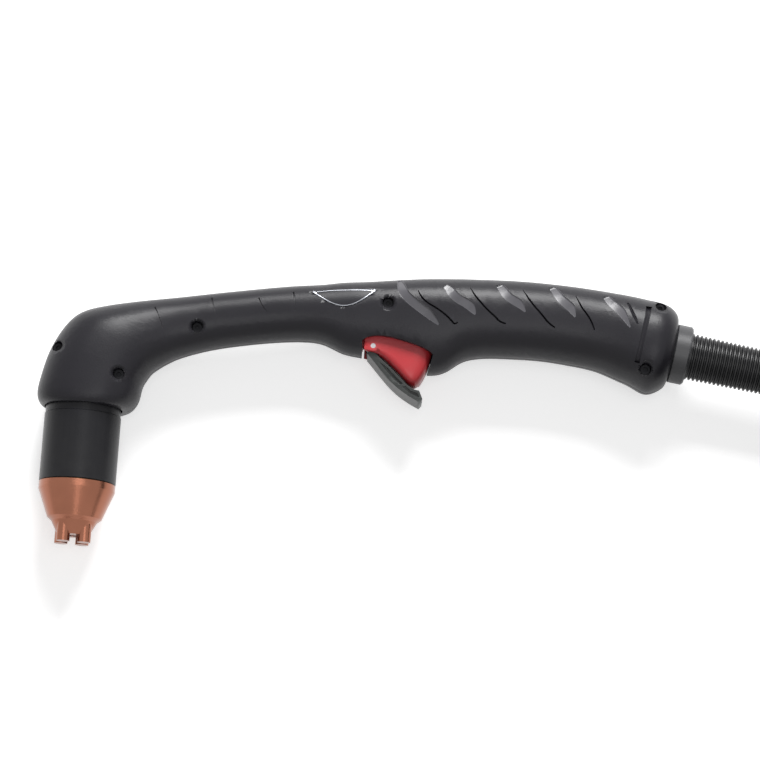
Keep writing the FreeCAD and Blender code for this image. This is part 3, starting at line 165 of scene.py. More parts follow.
def on_coil(turn):
    """Middle of the lead at a turn of the coil."""
    layer = min(layers - 1, max(0, int(turn // turns_per_layer)))
    within = turn - layer * turns_per_layer
    inward = within if layer % 2 == 0 else turns_per_layer - within
    radius = outer_radius - pitch * inward
    height = 0.0
    for reversal in range(1, layers):
        share = (turn - reversal * turns_per_layer) * 2 + 0.5
        share = min(1.0, max(0.0, share))
        height += pitch * (share - math.sin(2 * math.pi * share) / (2 * math.pi))
    angle = first_angle - 2 * math.pi * turn
    return coil_middle + Vector((radius * math.cos(angle), radius * math.sin(angle), height))


coil_in = (on_coil(1e-4) - on_coil(-1e-4)).normalized()
coil_out = (on_coil(turns + 1e-4) - on_coil(turns - 1e-4)).normalized()
plug_turn = math.radians(-95.7)
plug_axis = Vector((math.cos(plug_turn), math.sin(plug_turn), 0))
plug_start = in_metres(553.1, -56.8, 94.5)
lead_points = [
    relief_end,
    relief_end + tail_axis * 0.0135,
    in_metres(380.5, 52.2, -1.8),
    in_metres(396.5, 53.5, -5.6),
    in_metres(413.3, 55.9, -11.2),
    on_coil(0) - coil_in * 0.0273,
    on_coil(0) - coil_in * 0.01,
]
for step in range(int(turns * 24) + 1):
    lead_points.append(on_coil(step / 24))
lead_points += [
    on_coil(turns) + coil_out * 0.01,
    on_coil(turns) + coil_out * 0.0235,
    in_metres(348.1, -8.5, 68.6),
    in_metres(361.2, 20.8, 69.2),
    in_metres(384.7, 44.7, 70.4),
    in_metres(417.9, 59.8, 72.7),
    in_metres(472.9, 61.6, 79.3),
    in_metres(506.0, 51.6, 85.2),
    in_metres(532.9, 30.3, 89.7),
    in_metres(550.2, 0.4, 92.9),
    plug_start - plug_axis * 0.0231,
    plug_start,
]
lead_curve = bpy.data.curves.new("torch_lead", "CURVE")
lead_curve.dimensions = "3D"
lead_line = lead_curve.splines.new("NURBS")
lead_line.points.add(len(lead_points) - 1)
for point, place in zip(lead_line.points, lead_points):
    point.co = (*place, 1)
lead_line.order_u = 3
lead_line.use_endpoint_u = True
lead_line.resolution_u = 4
lead_curve.bevel_depth = 0.008
lead_curve.bevel_resolution = 5
lead_curve.use_fill_caps = True
lead = bpy.data.objects.new("torch_lead", lead_curve)
bpy.context.collection.objects.link(lead)


def shader_group(name, inputs, outputs):
    """Empty shader node group with named number or vector sockets."""
    group = bpy.data.node_groups.new(name, "ShaderNodeTree")
    for label, kind, value in inputs:
        socket = group.interface.new_socket(label, in_out="INPUT", socket_type=kind)
        if value is not None:
            socket.default_value = value
    for label, kind in outputs:
        group.interface.new_socket(label, in_out="OUTPUT", socket_type=kind)
    return group, group.nodes.new("NodeGroupInput"), group.nodes.new("NodeGroupOutput")


number, direction = "NodeSocketFloat", "NodeSocketVector"

# Grain of moulded plastic and rubber: fine leathery pits with a slow change of tone over them.
grain, grain_in, grain_out = shader_group(
    "moulded grain",
    [("Place", direction, None), ("Scale", number, 900.0), ("Tone Scale", number, 30.0)],
    [("Height", number), ("Tone", number)])
pits = grain.nodes.new("ShaderNodeTexVoronoi")
pits.feature = "SMOOTH_F1"
pits.inputs["Smoothness"].default_value = 0.6
fine = grain.nodes.new("ShaderNodeTexNoise")
fine.inputs["Detail"].default_value = 4
slow = grain.nodes.new("ShaderNodeTexNoise")
slow.inputs["Detail"].default_value = 3
blend = grain.nodes.new("ShaderNodeMath")
blend.operation = "MULTIPLY_ADD"
blend.inputs[1].default_value = 0.6
for texture in (pits, fine, slow):
    grain.links.new(grain_in.outputs["Place"], texture.inputs["Vector"])
grain.links.new(grain_in.outputs["Scale"], pits.inputs["Scale"])
grain.links.new(grain_in.outputs["Scale"], fine.inputs["Scale"])
grain.links.new(grain_in.outputs["Tone Scale"], slow.inputs["Scale"])
grain.links.new(pits.outputs["Distance"], blend.inputs[0])
grain.links.new(fine.outputs["Fac"], blend.inputs[2])
grain.links.new(blend.outputs[0], grain_out.inputs["Height"])
grain.links.new(slow.outputs["Fac"], grain_out.inputs["Tone"])

# Wear: rubbed edges and corners, broken up by a blotchy pattern.
wear, wear_in, wear_out = shader_group(
    "rubbed edges",
    [("Place", direction, None), ("Blotches", number, 120.0), ("Reach", number, 0.02)],
    [("Mask", number)])
shape = wear.nodes.new("ShaderNodeNewGeometry")
blotch = wear.nodes.new("ShaderNodeTexNoise")
blotch.inputs["Detail"].default_value = 5
edge = wear.nodes.new("ShaderNodeMapRange")
edge.inputs["From Min"].default_value = 0.52
far_edge = wear.nodes.new("ShaderNodeMath")
far_edge.operation = "ADD"
far_edge.inputs[1].default_value = 0.52
rub = wear.nodes.new("ShaderNodeMath")
rub.operation = "MULTIPLY"
wear.links.new(wear_in.outputs["Place"], blotch.inputs["Vector"])
wear.links.new(wear_in.outputs["Blotches"], blotch.inputs["Scale"])
wear.links.new(wear_in.outputs["Reach"], far_edge.inputs[0])
wear.links.new(far_edge.outputs[0], edge.inputs["From Max"])
wear.links.new(shape.outputs["Pointiness"], edge.inputs["Value"])
wear.links.new(edge.outputs[0], rub.inputs[0])
wear.links.new(blotch.outputs["Fac"], rub.inputs[1])
wear.links.new(rub.outputs[0], wear_out.inputs["Mask"])


def moulded(name, colour, rubbed, rough, scale, depth, reach=0.05, specular=0.5, tone=0.25):
    """Moulded plastic or rubber: grained, with paler rubbed edges."""
    material = bpy.data.materials.new(name)
    material.use_nodes = True
    nodes, links = material.node_tree.nodes, material.node_tree.links
    skin = nodes["Principled BSDF"]
    skin.inputs["Specular IOR Level"].default_value = specular
    place = nodes.new("ShaderNodeTexCoord")
    pattern = nodes.new("ShaderNodeGroup")
    pattern.node_tree = grain
    pattern.inputs["Scale"].default_value = scale
    rub = nodes.new("ShaderNodeGroup")
    rub.node_tree = wear
    rub.inputs["Reach"].default_value = reach
    bump = nodes.new("ShaderNodeBump")
    bump.inputs["Distance"].default_value = depth
    bump.inputs["Strength"].default_value = 0.6
    tones = nodes.new("ShaderNodeMix")
    tones.data_type = "RGBA"
    darker = [c * (1 - tone) for c in colour]
    lighter = [c * (1 + tone) for c in colour]
    tones.inputs["A"].default_value = (*darker, 1)
    tones.inputs["B"].default_value = (*lighter, 1)
    worn = nodes.new("ShaderNodeMix")
    worn.data_type = "RGBA"
    worn.inputs["B"].default_value = (*rubbed, 1)
    gloss = nodes.new("ShaderNodeMapRange")
    gloss.inputs["To Min"].default_value = rough - 0.06
    gloss.inputs["To Max"].default_value = rough + 0.08
    links.new(place.outputs["Object"], pattern.inputs["Place"])
    links.new(place.outputs["Object"], rub.inputs["Place"])
    links.new(pattern.outputs["Height"], bump.inputs["Height"])
    links.new(bump.outputs["Normal"], skin.inputs["Normal"])
    links.new(pattern.outputs["Tone"], tones.inputs["Factor"])
    links.new(tones.outputs["Result"], worn.inputs["A"])
    links.new(rub.outputs["Mask"], worn.inputs["Factor"])
    links.new(worn.outputs["Result"], skin.inputs["Base Color"])
    links.new(pattern.outputs["Tone"], gloss.inputs["Value"])
    links.new(gloss.outputs[0], skin.inputs["Roughness"])
    return material


def dress(material, *names):
    """Gives CAD nodes a material."""
    for name in names:
        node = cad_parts[name]
        for slot in node.material_slots:
            slot.material = material


lead_rubber = moulded("lead rubber", (0.022, 0.022, 0.024), (0.06, 0.06, 0.06), 0.5, 700, 0.00008)
lead.data.materials.append(lead_rubber)
dress(lead_rubber, "lead_inner_end", "plug_lead_end")
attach(lead, "handle")
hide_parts("torch_lead_run", "torch_lead_coil", "torch_lead_tail")

# Strain relief: black rubber sleeve moulded with thirty fine ribs, held in the handle's tail.
relief_rubber = moulded(
    "relief rubber", (0.009, 0.009, 0.01), (0.04, 0.04, 0.04), 0.32, 500, 0.00005, 0.05, 0.25)
profile = [(-0.0116, 0.0082), (-0.0116, 0.0129), (-0.0081, 0.0129), (-0.0081, 0.0112), (0.009, 0.0112)]
ribs, rib_pitch, rib_depth = 30, 0.00205, 0.001
rib_form = [(0.22, -1), (0.42, -1), (0.55, -0.45), (0.62, -0.12), (0.74, 0), (0.92, 0), (0.99, -0.12)]
for rib in range(ribs):
    crest = 0.0112 - 0.0008 * rib / (ribs - 1)
    foot = 0.009 + rib_pitch * rib
    for along, up in rib_form:
        profile.append((foot + rib_pitch * along, crest + rib_depth * up))
profile += [(0.0712, 0.0104), (0.072, 0.0100), (0.072, 0.0082)]


def lathed(name, outline, steps, closed):
    """Spins an outline of (along, radius) points about the X axis with the spin operator."""
    mesh = bpy.data.meshes.new(name)
    joints = [(i, i + 1) for i in range(len(outline) - 1)]
    if closed:
        joints.append((len(outline) - 1, 0))
    mesh.from_pydata([(along, 0, up) for along, up in outline], joints, [])
    piece = bpy.data.objects.new(name, mesh)
    bpy.context.collection.objects.link(piece)
    bpy.context.view_layer.objects.active = piece
    piece.select_set(True)
    bpy.ops.object.mode_set(mode="EDIT")
    bpy.ops.mesh.select_all(action="SELECT")
    bpy.ops.mesh.spin(steps=steps, angle=2 * math.pi, center=(0, 0, 0), axis=(1, 0, 0))
    bpy.ops.mesh.select_all(action="SELECT")
    bpy.ops.mesh.remove_doubles(threshold=1e-6)
    bpy.ops.mesh.normals_make_consistent(inside=False)
    bpy.ops.object.mode_set(mode="OBJECT")
    bpy.ops.object.shade_smooth_by_angle(angle=math.radians(38))
    piece.select_set(False)
    return piece


def set_down(piece, place, turn):
    """Turns a finished piece about Z, moves it and applies both to its mesh."""
    piece.data.transform(Matrix.Translation(place) @ Matrix.Rotation(turn, 4, "Z"))
    piece.data.update()


relief = lathed("relief_sleeve", profile, 72, True)
set_down(relief, tail_start, tail_angle)
relief.data.materials.append(relief_rubber)
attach(relief, "handle")
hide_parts("strain_relief")

# Handle shells: two charcoal moulded halves, the left one with the screw recesses. The grip has slanted
# scoops and cuts, the neck has fine steps and the tail a shallow ring. The skin round them stays smooth.
shell_plastic = moulded(
    "charcoal shell", (0.0125, 0.0118, 0.0155), (0.02, 0.02, 0.025), 0.36, 1500, 0.00005, 0.08, 0.24, 0.12)
# Scoop floors: a paler grey than the shell, which is a painted highlight for the light they catch, on a
# glossier finish.
scoop_painted_highlight = moulded(
    "smooth scoop painted highlight", (0.075, 0.073, 0.083), (0.1, 0.1, 0.11), 0.30, 1500, 0.00001, 0.08, 0.55, 0.12)


def copy_node(node, name):
    """New piece with a CAD node's own shape, its loose triangles merged."""
    piece = bpy.data.objects.new(name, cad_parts[node].data.copy())
    bpy.context.collection.objects.link(piece)
    bpy.context.view_layer.objects.active = piece
    piece.select_set(True)
    bpy.ops.object.mode_set(mode="EDIT")
    bpy.ops.mesh.select_all(action="SELECT")
    bpy.ops.mesh.remove_doubles(threshold=2e-6)
    bpy.ops.object.mode_set(mode="OBJECT")
    piece.select_set(False)
    piece.data.materials.clear()
    return piece


left_shell = copy_node("handle_left_shell", "left_shell")
right_shell = copy_node("handle_right_shell", "right_shell")
for shell in (left_shell, right_shell):
    shell.data.materials.append(shell_plastic)
    shell.data.materials.append(scoop_painted_highlight)

spine = [
    (28.5, 59.2), (57, 66.0), (88, 71.5), (112.5, 73.7), (140, 75.9), (165, 76.9), (186, 76.7),
    (218, 76.5), (234, 75.4), (248, 73.2), (258, 70.9), (264.4, 68.2), (280, 65.75),
]
clear_of_shell = 0.06


def on_shell(x, angle):
    """Point and outward normal on the left shell at x and an angle from its side towards its top."""
    for (x0, y0), (x1, y1) in zip(spine, spine[1:]):
        if x <= x1:
            break
    middle = Vector((x, y0 + (y1 - y0) * (x - x0) / (x1 - x0), 0)) / 1000
    out = Vector((0, math.sin(math.radians(angle)), math.cos(math.radians(angle))))
    return left_shell.ray_cast(middle + out * clear_of_shell, -out)[1:3]


def cutter(name, marks, outline_points, first_size, last_size):
    """Closed tool along marks on the shell, drawn in to a share of its size at both ends."""
    section = bpy.data.curves.new(name + " section", "CURVE")
    outline = section.splines.new("POLY")
    outline.points.add(len(outline_points) - 1)
    for point, (across, up) in zip(outline.points, outline_points):
        point.co = (across / 1000, up / 1000, 0, 1)
    outline.use_cyclic_u = True
    section_object = bpy.data.objects.new(name + " section", section)
    bpy.context.collection.objects.link(section_object)
    line = bpy.data.curves.new(name, "CURVE")
    line.dimensions = "3D"
    line.twist_mode = "Z_UP"
    route = line.splines.new("NURBS")
    route.points.add(len(marks) - 1)
    spots = [on_shell(x, angle) for x, angle in marks]
    for i, (point, (place, normal)) in enumerate(zip(route.points, spots)):
        point.co = (*place, 1)
        point.radius = 1.0
        along = (spots[min(i + 1, len(spots) - 1)][0] - spots[max(i - 1, 0)][0]).normalized()
        level = (Vector((0, 0, 1)) - along * along.z).normalized()
        outward = (normal - along * normal.dot(along)).normalized()
        point.tilt = math.atan2(along.dot(level.cross(outward)), level.dot(outward))
    route.points[0].radius = first_size
    route.points[-1].radius = last_size
    route.order_u = 3
    route.use_endpoint_u = True
    route.resolution_u = 8
    line.bevel_mode = "OBJECT"
    line.bevel_object = section_object
    line.use_fill_caps = True
    tool = bpy.data.objects.new(name, line)
    bpy.context.collection.objects.link(tool)
    bpy.context.view_layer.objects.active = tool
    tool.select_set(True)
    bpy.ops.object.convert(target="MESH")
    tool = bpy.context.object
    bpy.ops.object.mode_set(mode="EDIT")
    bpy.ops.mesh.select_all(action="SELECT")
    bpy.ops.mesh.remove_doubles(threshold=1e-6)
    bpy.ops.mesh.normals_make_consistent(inside=False)
    bpy.ops.object.mode_set(mode="OBJECT")
    tool.select_set(False)
    bpy.data.objects.remove(section_object)
    return tool


scoop = [
    (-3.85, 1.2), (-3.7, -0.55), (-3.1, -0.7), (-1.5, -0.95),
    (0.3, -1.3), (0.7, -1.25), (0.85, -0.9), (1.0, 1.2),
]
cut = [(-0.55, 0.9), (-0.42, -0.6), (0, -1.0), (0.42, -0.6), (0.55, 0.9)]
hair = [(-0.35, 0.5), (-0.22, -0.35), (0.22, -0.35), (0.35, 0.5)]
band = [(-1.5, 0.7), (-1.1, -0.2), (0, -0.55), (1.1, -0.2), (1.5, 0.7)]
notch = [(-1.0, 0.9), (-0.85, -0.8), (-0.4, -0.9), (0.8, -0.35), (1.0, 0.9)]
grooves = [
    ("scoop 1", scoop, 0.35, 0.2,
     [(146.6, 62), (146.6, 39), (147.8, 23), (151.4, 9), (156.9, -5), (161.8, -16), (166.7, -27)]),
    ("scoop 2", scoop, 0.6, 0.15,
     [(168.1, 39), (170.0, 32), (171.2, 23), (174.2, 13), (178.6, 6), (181.5, 0), (183.8, -8)]),
    ("scoop 3", scoop, 0.8, 0.15,
     [(193.8, 47), (195.5, 36), (197.2, 26), (200.2, 18), (204.5, 11), (207.6, 2)]),
    ("scoop 4", scoop, 0.8, 0.15,
     [(219.2, 51), (221.0, 38), (223.2, 27), (226.1, 19), (229.0, 12), (231.4, 2)]),
    ("scoop 5", scoop, 0.8, 0.15, [(245.0, 46), (246.6, 36), (249.2, 29), (253.3, 19), (257.6, 4)]),
    ("cut 1", cut, 0.3, 0.6,
     [(156.0, 29), (157.2, 19), (160.3, 8), (165.7, -2), (169.5, -10), (172.8, -19), (174.5, -25),
      (175.9, -21)]),
    ("cut 2", cut, 0.3, 0.8,
     [(180.9, 38), (182.9, 25), (186.2, 13), (190.2, 0), (193.4, -8), (196.2, -17), (198.8, -18)]),
    ("cut 3", cut, 0.3, 0.8,
     [(206.2, 40), (208.5, 26), (212.4, 11), (216.3, -2), (219.1, -13), (222.3, -18)]),
    ("cut 4", cut, 0.3, 0.6, [(231.6, 38), (233.8, 21), (237.4, 9), (239.8, -2), (241.1, -12)]),
    ("notch", notch, 0.7, 0.4, [(256.6, 42), (258.3, 29), (260.2, 19), (261.4, 13)]),
    ("step 1", hair, 0.3, 0.3, [(28.6, 60), (30.5, 40), (33.5, 15), (35.9, -10)]),
    ("step 2", hair, 0.3, 0.3, [(57.0, 62), (57.8, 42), (59.0, 20), (60.2, 5)]),
    ("step 3", hair, 0.3, 0.3, [(79.2, 60), (79.8, 35), (82.1, 9), (85.0, -4)]),
    ("step 4", hair, 0.3, 0.3, [(95.0, 86), (95.6, 55), (97.2, 28), (97.7, 12), (98.3, -6)]),
    ("tail ring", band, 0.2, 0.2,
     [(267.6, 84), (267.1, 60), (266.3, 35), (265.2, 18), (264.0, 0), (262.8, -20), (262.0, -40),
      (261.6, -74)]),
]
same_corner = 0.000002
near_skin = 0.00008
tools = []
for name, form, first_size, last_size, marks in grooves:
    tool = cutter(name, marks, form, first_size, last_size)
    tool.data.materials.append(shell_plastic)
    # The scoop tools carry the paler painted-highlight material onto the floors they cut.
    tool.data.materials.append(scoop_painted_highlight)
    for face in tool.data.polygons:
        face.material_index = 1 if form is scoop else 0
    tools.append(tool)
for tool in tools:
    tool.select_set(True)
bpy.context.view_layer.objects.active = tools[0]
bpy.ops.object.join()
left_tools = bpy.context.object
left_tools.select_set(False)
right_tools = bpy.data.objects.new("right tools", left_tools.data.copy())
bpy.context.collection.objects.link(right_tools)
right_tools.data.transform(Matrix.Scale(-1, 4, Vector((0, 0, 1))))
right_tools.data.flip_normals()

for shell, tool, node in (
    (left_shell, left_tools, "handle_left_shell"),
    (right_shell, right_tools, "handle_right_shell"),
):
    bpy.context.view_layer.objects.active = shell
    shell.select_set(True)
    bpy.ops.object.shade_smooth_by_angle(angle=math.radians(28))
    whole = bpy.data.objects.new("whole shell", shell.data.copy())
    bpy.context.collection.objects.link(whole)
    carve = shell.modifiers.new("carve", "BOOLEAN")
    carve.operation = "DIFFERENCE"
    carve.solver = "EXACT"
    carve.use_self = True
    carve.object = tool
    bpy.ops.object.modifier_apply(modifier="carve")
    bpy.ops.object.shade_smooth_by_angle(angle=math.radians(28))
    corners = KDTree(len(whole.data.vertices))
    for vertex in whole.data.vertices:
        corners.insert(vertex.co, vertex.index)
    corners.balance()
    for piece in (whole, shell):
        bpy.context.view_layer.objects.active = piece
        weigh = piece.modifiers.new("weigh", "WEIGHTED_NORMAL")
        weigh.weight = 60
        weigh.keep_sharp = True
        bpy.ops.object.modifier_apply(modifier="weigh")
    cut_corners = {v.index for v in shell.data.vertices if corners.find(v.co)[2] > same_corner}
    beside, hard = set(cut_corners), set()
    for edge in shell.data.edges:
        if not cut_corners.isdisjoint(edge.vertices):
            beside.update(edge.vertices)
        if edge.use_edge_sharp:
            hard.update(edge.vertices)
    rims = shell.vertex_groups.new(name="groove rims")
    rims.add(sorted(cut_corners | (beside - hard)), 1.0, "REPLACE")
    even = shell.modifiers.new("even shading", "DATA_TRANSFER")
    even.object = whole
    even.vertex_group = "groove rims"
    even.use_loop_data = True
    even.data_types_loops = {"CUSTOM_NORMAL"}
    even.loop_mapping = "POLYINTERP_NEAREST"
    even.use_max_distance = True
    even.max_distance = near_skin
    bpy.ops.object.modifier_apply(modifier="even shading")
    shell.select_set(False)
    bpy.data.objects.remove(whole)
    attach(shell, "handle")
    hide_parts(node)
    bpy.data.objects.remove(tool)

# Tail collar: a plain black moulded ring between the handle and the relief.
collar_black = moulded(
    "collar black", (0.035, 0.035, 0.04), (0.07, 0.07, 0.07), 0.38, 1200, 0.00005, 0.05, 0.35)
dress(collar_black, "tail_collar")

# Badge: a thin metal plate let into the neck's left side, with a bright rim round a dark sunk face. It
# is left bare.
badge_rim = bpy.data.materials.new("badge rim")
badge_rim.use_nodes = True
rim_skin = badge_rim.node_tree.nodes["Principled BSDF"]
rim_skin.inputs["Base Color"].default_value = (0.34, 0.35, 0.38, 1)
rim_skin.inputs["Metallic"].default_value = 1.0
rim_skin.inputs["Roughness"].default_value = 0.35
badge_face = moulded("badge face", (0.018, 0.018, 0.022), (0.3, 0.3, 0.3), 0.32, 600, 0.00002, 0.05, 0.2)
badge_left, badge_right = 105.5, 136.0
low_edge = [(105.5, 62.35), (112.5, 58.4), (120.8, 55.95), (129.5, 59.4), (136.0, 64.8)]
high_edge = [(105.5, 62.45), (120.8, 64.45), (136.0, 64.9)]


def through(points, x):
    """Height at x of the smooth line through a few points."""
    height = 0.0
    for i, (xi, yi) in enumerate(points):
        share = 1.0
        for j, (xj, _) in enumerate(points):
            if j != i:
                share *= (x - xj) / (xi - xj)
        height += yi * share
    return height


columns, rows = 60, 14
bpy.ops.mesh.primitive_grid_add(x_subdivisions=columns, y_subdivisions=rows, size=1)
badge = bpy.context.object
badge.name = "badge"
badge_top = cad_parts["badge_plate"]
for vertex in badge.data.vertices:
    column = round((vertex.co.x + 0.5) * columns)
    row = round((vertex.co.y + 0.5) * rows)
    x = badge_left + (badge_right - badge_left) * (1 - math.cos(math.pi * column / columns)) / 2
    low, high = through(low_edge, x), through(high_edge, x)
    rim = min(0.5, 0.25 * (high - low))
    steps = [0, 0.2 * rim, 0.8 * rim, rim]
    inner = rows + 2 - 2 * len(steps)
    for step in range(1, inner):
        steps.append(rim + (high - low - 2 * rim) * step / inner)
    steps += [high - low - part for part in (rim, 0.8 * rim, 0.2 * rim, 0)]
    drop = (0.18, 0.0, 0.0, 0.2)[min(row, rows - row, 3)]
    place = Vector((x, mouth_y + low + steps[row], 60)) / 1000
    middle = Vector((place.x, mouth_y / 1000 + (0.5 * low + 0.5 * high) / 1000, 0.06))
    aim_at = place.lerp(middle, 0.03)
    spot = badge_top.ray_cast(aim_at, Vector((0, 0, -1)))[1]
    vertex.co = (place.x, place.y, spot.z - drop / 1000)
badge.data.materials.append(badge_rim)
badge.data.materials.append(badge_face)
for face in badge.data.polygons:
    row = min(face.index // columns, rows - 1 - face.index // columns)
    face.material_index = 0 if row < 3 else 1
plate_wall = badge.modifiers.new("plate", "SOLIDIFY")
plate_wall.thickness = 0.0009
plate_wall.offset = -1
bpy.ops.object.modifier_apply(modifier="plate")
bpy.ops.object.shade_smooth_by_angle(angle=math.radians(35))
badge.select_set(False)
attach(badge, "handle")
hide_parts("badge_plate")

# Retaining cap: turned from filled black plastic, satin, with lightly rubbed edges.
dress(moulded("cap black", (0.009, 0.009, 0.0115), (0.03, 0.03, 0.03), 0.34, 900, 0.00004, 0.08, 0.2),
      "retaining_cap")


def machined(name, colour, rough, ring_scale, ring_depth):
    """Turned metal: fine rings across the cap's axis and a slow change of tone."""
    material = bpy.data.materials.new(name)
    material.use_nodes = True
    nodes, links = material.node_tree.nodes, material.node_tree.links
    skin = nodes["Principled BSDF"]
    skin.inputs["Metallic"].default_value = 1.0
    place = nodes.new("ShaderNodeTexCoord")
    rings = nodes.new("ShaderNodeTexWave")
    rings.bands_direction = "Y"
    rings.inputs["Scale"].default_value = ring_scale
    rings.inputs["Distortion"].default_value = 1.5
    rings.inputs["Detail"].default_value = 2
    pattern = nodes.new("ShaderNodeGroup")
    pattern.node_tree = grain
    pattern.inputs["Scale"].default_value = 1200
    pattern.inputs["Tone Scale"].default_value = 90
    tones = nodes.new("ShaderNodeMix")
    tones.data_type = "RGBA"
    tones.inputs["A"].default_value = (*[c * 0.8 for c in colour], 1)
    tones.inputs["B"].default_value = (*[min(1, c * 1.1) for c in colour], 1)
    gloss = nodes.new("ShaderNodeMapRange")
    gloss.inputs["To Min"].default_value = rough - 0.05
    gloss.inputs["To Max"].default_value = rough + 0.08
    bump = nodes.new("ShaderNodeBump")
    bump.inputs["Distance"].default_value = ring_depth
    bump.inputs["Strength"].default_value = 0.4
    links.new(place.outputs["Object"], rings.inputs["Vector"])
    links.new(place.outputs["Object"], pattern.inputs["Place"])
    links.new(pattern.outputs["Tone"], tones.inputs["Factor"])
    links.new(pattern.outputs["Tone"], gloss.inputs["Value"])
    links.new(tones.outputs["Result"], skin.inputs["Base Color"])
    links.new(gloss.outputs[0], skin.inputs["Roughness"])
    links.new(rings.outputs["Fac"], bump.inputs["Height"])
    links.new(bump.outputs["Normal"], skin.inputs["Normal"])
    return material


# Consumables: shield, nozzle and electrode are turned from copper, the threaded pieces from brass.
copper = machined("turned copper", (0.31, 0.125, 0.078), 0.18, 900, 0.00005)
brass = machined("turned brass", (0.75, 0.58, 0.30), 0.25, 900, 0.00003)
dress(copper, "shield", "nozzle", "electrode")
dress(brass, "thread_ring", "cathode_block", "plunger", "gas_tube", "tube_nut", "cap_insert",
      "pilot_terminal", "plug_gas_pin", "plug_signal_pins")

# Screws, pins and springs: zinc-plated and drawn steel.
steel = machined("plated steel", (0.42, 0.42, 0.43), 0.32, 1400, 0.00001)
dress(steel, "clamp_screws", "plug_screws", "trigger_pin", "safety_pin", "trigger_spring",
      "safety_spring", "plunger_spring", "plug_latch_spring", "hafnium_insert")

# Handle screws: steel coloured nearly black, which is painted shade for the deep recesses they sit in.
dress(machined("dark steel painted shade", (0.02, 0.02, 0.022), 0.5, 1400, 0.00001), "handle_screws")

# Trigger: a broad red rocker that fills the arch under the neck, rounded where the finger presses.
red = moulded("trigger red", (0.52, 0.032, 0.04), (0.7, 0.12, 0.13), 0.34, 1600, 0.00003, 0.1, 0.4)
dress(red, "plug_latch_button")
pivot = Vector((127.5, mouth_y + 42.5, 0)) / 1000
outline = [
    (121.0, 36.0), (127.0, 35.0), (132.2, 36.0), (136.5, 35.1), (140.5, 33.6), (144.5, 30.4), (149.0, 26.4),
    (153.5, 22.0), (157.0, 20.2),
]
for degrees in (-32, -26, -19, -12, -5, 2, 8):
    angle = math.radians(degrees)
    outline.append((127.5 + 37.9 * math.cos(angle), 42.5 + 37.9 * math.sin(angle)))
outline += [(160.0, 51.5), (146.0, 52.0), (132.0, 51.0), (122.0, 49.0), (118.5, 42.0)]
bpy.ops.mesh.primitive_circle_add(vertices=len(outline), radius=1, fill_type="NGON")
pillow = bpy.context.object
for vertex, (x, s) in zip(pillow.data.vertices, outline):
    vertex.co = (x / 1000, (mouth_y + s) / 1000, 0)
bpy.ops.object.mode_set(mode="EDIT")
bpy.ops.mesh.select_all(action="SELECT")
bpy.ops.mesh.normals_make_consistent(inside=False)
height, size = 0.0, 1.0
for up, share in ((5.5, 0.995), (8.0, 0.955), (9.6, 0.885), (10.5, 0.76), (10.95, 0.58), (11.2, 0.3)):
    bpy.ops.mesh.extrude_region_move(TRANSFORM_OT_translate={"value": (0, 0, (up - height) / 1000)})
    bpy.ops.transform.resize(
        value=(share / size, share / size, 1), center_override=(0.1485, (mouth_y + 37.0) / 1000, up / 1000))
    height, size = up, share
bpy.ops.object.mode_set(mode="OBJECT")
twin = pillow.modifiers.new("other side", "MIRROR")
twin.use_axis = (False, False, True)
twin.use_bisect_axis = (False, False, True)
twin.use_bisect_flip_axis = (False, False, False)
bpy.ops.object.modifier_apply(modifier="other side")
soften = pillow.modifiers.new("soften", "SUBSURF")
soften.levels = soften.render_levels = 2
bpy.ops.object.modifier_apply(modifier="soften")
pillow.select_set(False)
trigger = copy_node("trigger", "red_trigger")
bpy.context.view_layer.objects.active = trigger
trigger.select_set(True)
crown = trigger.modifiers.new("crown", "BOOLEAN")
crown.operation = "INTERSECT"
crown.solver = "EXACT"
crown.object = pillow
bpy.ops.object.modifier_apply(modifier="crown")
bpy.ops.object.shade_smooth_by_angle(angle=math.radians(35))
trigger.select_set(False)
bpy.data.objects.remove(pillow)
trigger.data.materials.clear()
trigger.data.materials.append(red)
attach(trigger, "trigger")
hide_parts("trigger")

# Safety lever: a dark scooped tongue hinged in the trigger's front.
lever_grey = moulded("lever grey", (0.028, 0.031, 0.030), (0.10, 0.11, 0.105), 0.36, 1300, 0.00005, 0.1, 0.3)
lever = copy_node("safety_lever", "safety_tongue")
sunk_panels = [
    [(139.9, 31.2), (143.4, 27.1), (147.0, 23.3), (150.0, 20.8), (151.6, 21.4), (148.0, 24.6), (143.6, 28.8)],
    [(151.4, 19.8), (155.0, 17.2), (159.2, 14.9), (159.9, 15.6), (158.8, 17.3), (155.4, 18.2), (152.9, 20.3)],
]
lever_tools = []
for panel in sunk_panels:
    for side in (-1, 1):
        bpy.ops.mesh.primitive_circle_add(vertices=len(panel), radius=1, fill_type="NGON")
        tool = bpy.context.object
        for vertex, (x, s) in zip(tool.data.vertices, panel):
            vertex.co = (x / 1000, (mouth_y + s) / 1000, side * 0.0082)
        bpy.ops.object.mode_set(mode="EDIT")
        bpy.ops.mesh.select_all(action="SELECT")
        bpy.ops.mesh.extrude_region_move(TRANSFORM_OT_translate={"value": (0, 0, side * 0.002)})
        bpy.ops.mesh.select_all(action="SELECT")
        bpy.ops.mesh.normals_make_consistent(inside=False)
        bpy.ops.object.mode_set(mode="OBJECT")
        tool.select_set(False)
        lever_tools.append(tool)
for tool in lever_tools:
    bpy.context.view_layer.objects.active = lever
    lever.select_set(True)
    sink = lever.modifiers.new("sink", "BOOLEAN")
    sink.operation = "DIFFERENCE"
    sink.solver = "EXACT"
    sink.object = tool
    bpy.ops.object.modifier_apply(modifier="sink")
    bpy.data.objects.remove(tool)
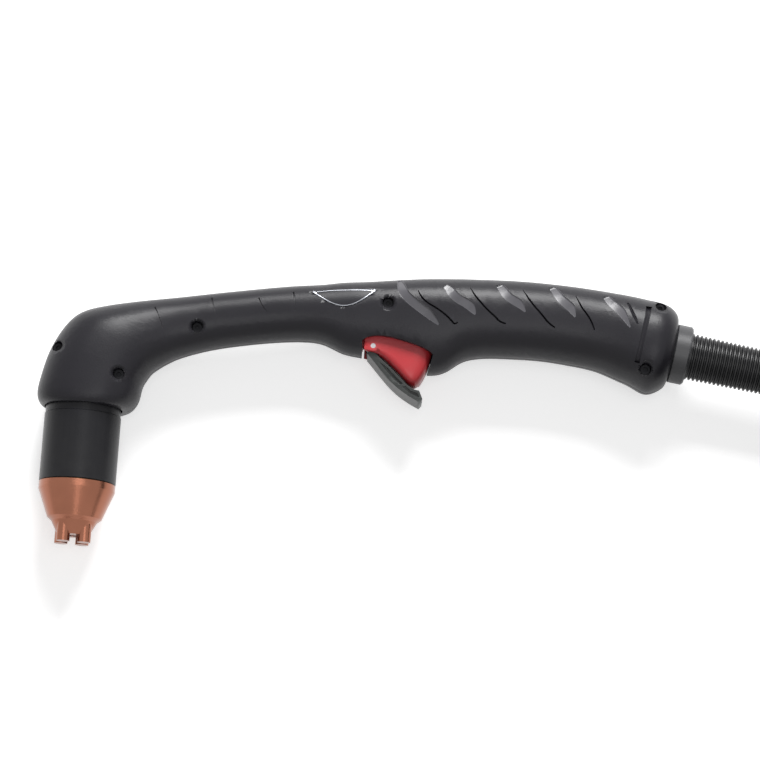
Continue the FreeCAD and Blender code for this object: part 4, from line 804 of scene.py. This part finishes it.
trim = lever.modifiers.new("edges", "BEVEL")
trim.width = 0.0002
trim.segments = 2
trim.limit_method = "ANGLE"
trim.angle_limit = math.radians(50)
bpy.ops.object.modifier_apply(modifier="edges")
bpy.ops.object.shade_smooth_by_angle(angle=math.radians(35))
lever.select_set(False)
lever.data.materials.clear()
lever.data.materials.append(lever_grey)
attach(lever, "safety_lever")
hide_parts("safety_lever")

# Pieces inside the handle: insulator, switches, hose and wires.
insulator = moulded("insulator", (0.06, 0.045, 0.035), (0.12, 0.1, 0.09), 0.5, 900, 0.00005)
dress(insulator, "torch_body", "swirl_ring", "plug_nose", "lead_clamp")
dress(moulded("switch black", (0.03, 0.03, 0.03), (0.1, 0.1, 0.1), 0.45, 900, 0.00003),
      "start_switch", "cap_sensor_switch", "start_switch_button", "cap_sensor_rod")
dress(moulded("hose rubber", (0.02, 0.02, 0.02), (0.05, 0.05, 0.05), 0.55, 900, 0.00003),
      "gas_hose", "cap_o_ring")
dress(moulded("wire jacket", (0.30, 0.03, 0.02), (0.4, 0.1, 0.1), 0.45, 900, 0.00002),
      "pilot_wire", "sensor_wire", "switch_wire")

# Plug: black moulded shells round the contact block, with a rubber boot behind.
plug_plastic = moulded("plug shell", (0.022, 0.022, 0.025), (0.08, 0.08, 0.08), 0.42, 1200, 0.00006, 0.08)
dress(plug_plastic, "plug_upper_shell", "plug_lower_shell")
boot_profile = [(0.0, 0.0082), (0.0, 0.0099), (0.0006, 0.0102)]
for ring in range(6):
    foot = 0.0016 + 0.0034 * ring
    radius = 0.0104 + 0.0021 * ring / 5
    for along, sunk in ((0.0, 0.0), (0.0004, 0.0007), (0.0012, 0.0007), (0.0016, 0.0)):
        boot_profile.append((foot + along, radius - sunk))
boot_profile += [(0.023, 0.0125), (0.027, 0.0125), (0.027, 0.0145), (0.030, 0.0145), (0.030, 0.0082)]
boot = lathed("lead_boot", boot_profile, 64, True)
set_down(boot, plug_start, plug_turn)
boot.data.materials.append(relief_rubber)
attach(boot, "handle")
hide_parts("plug_boot")
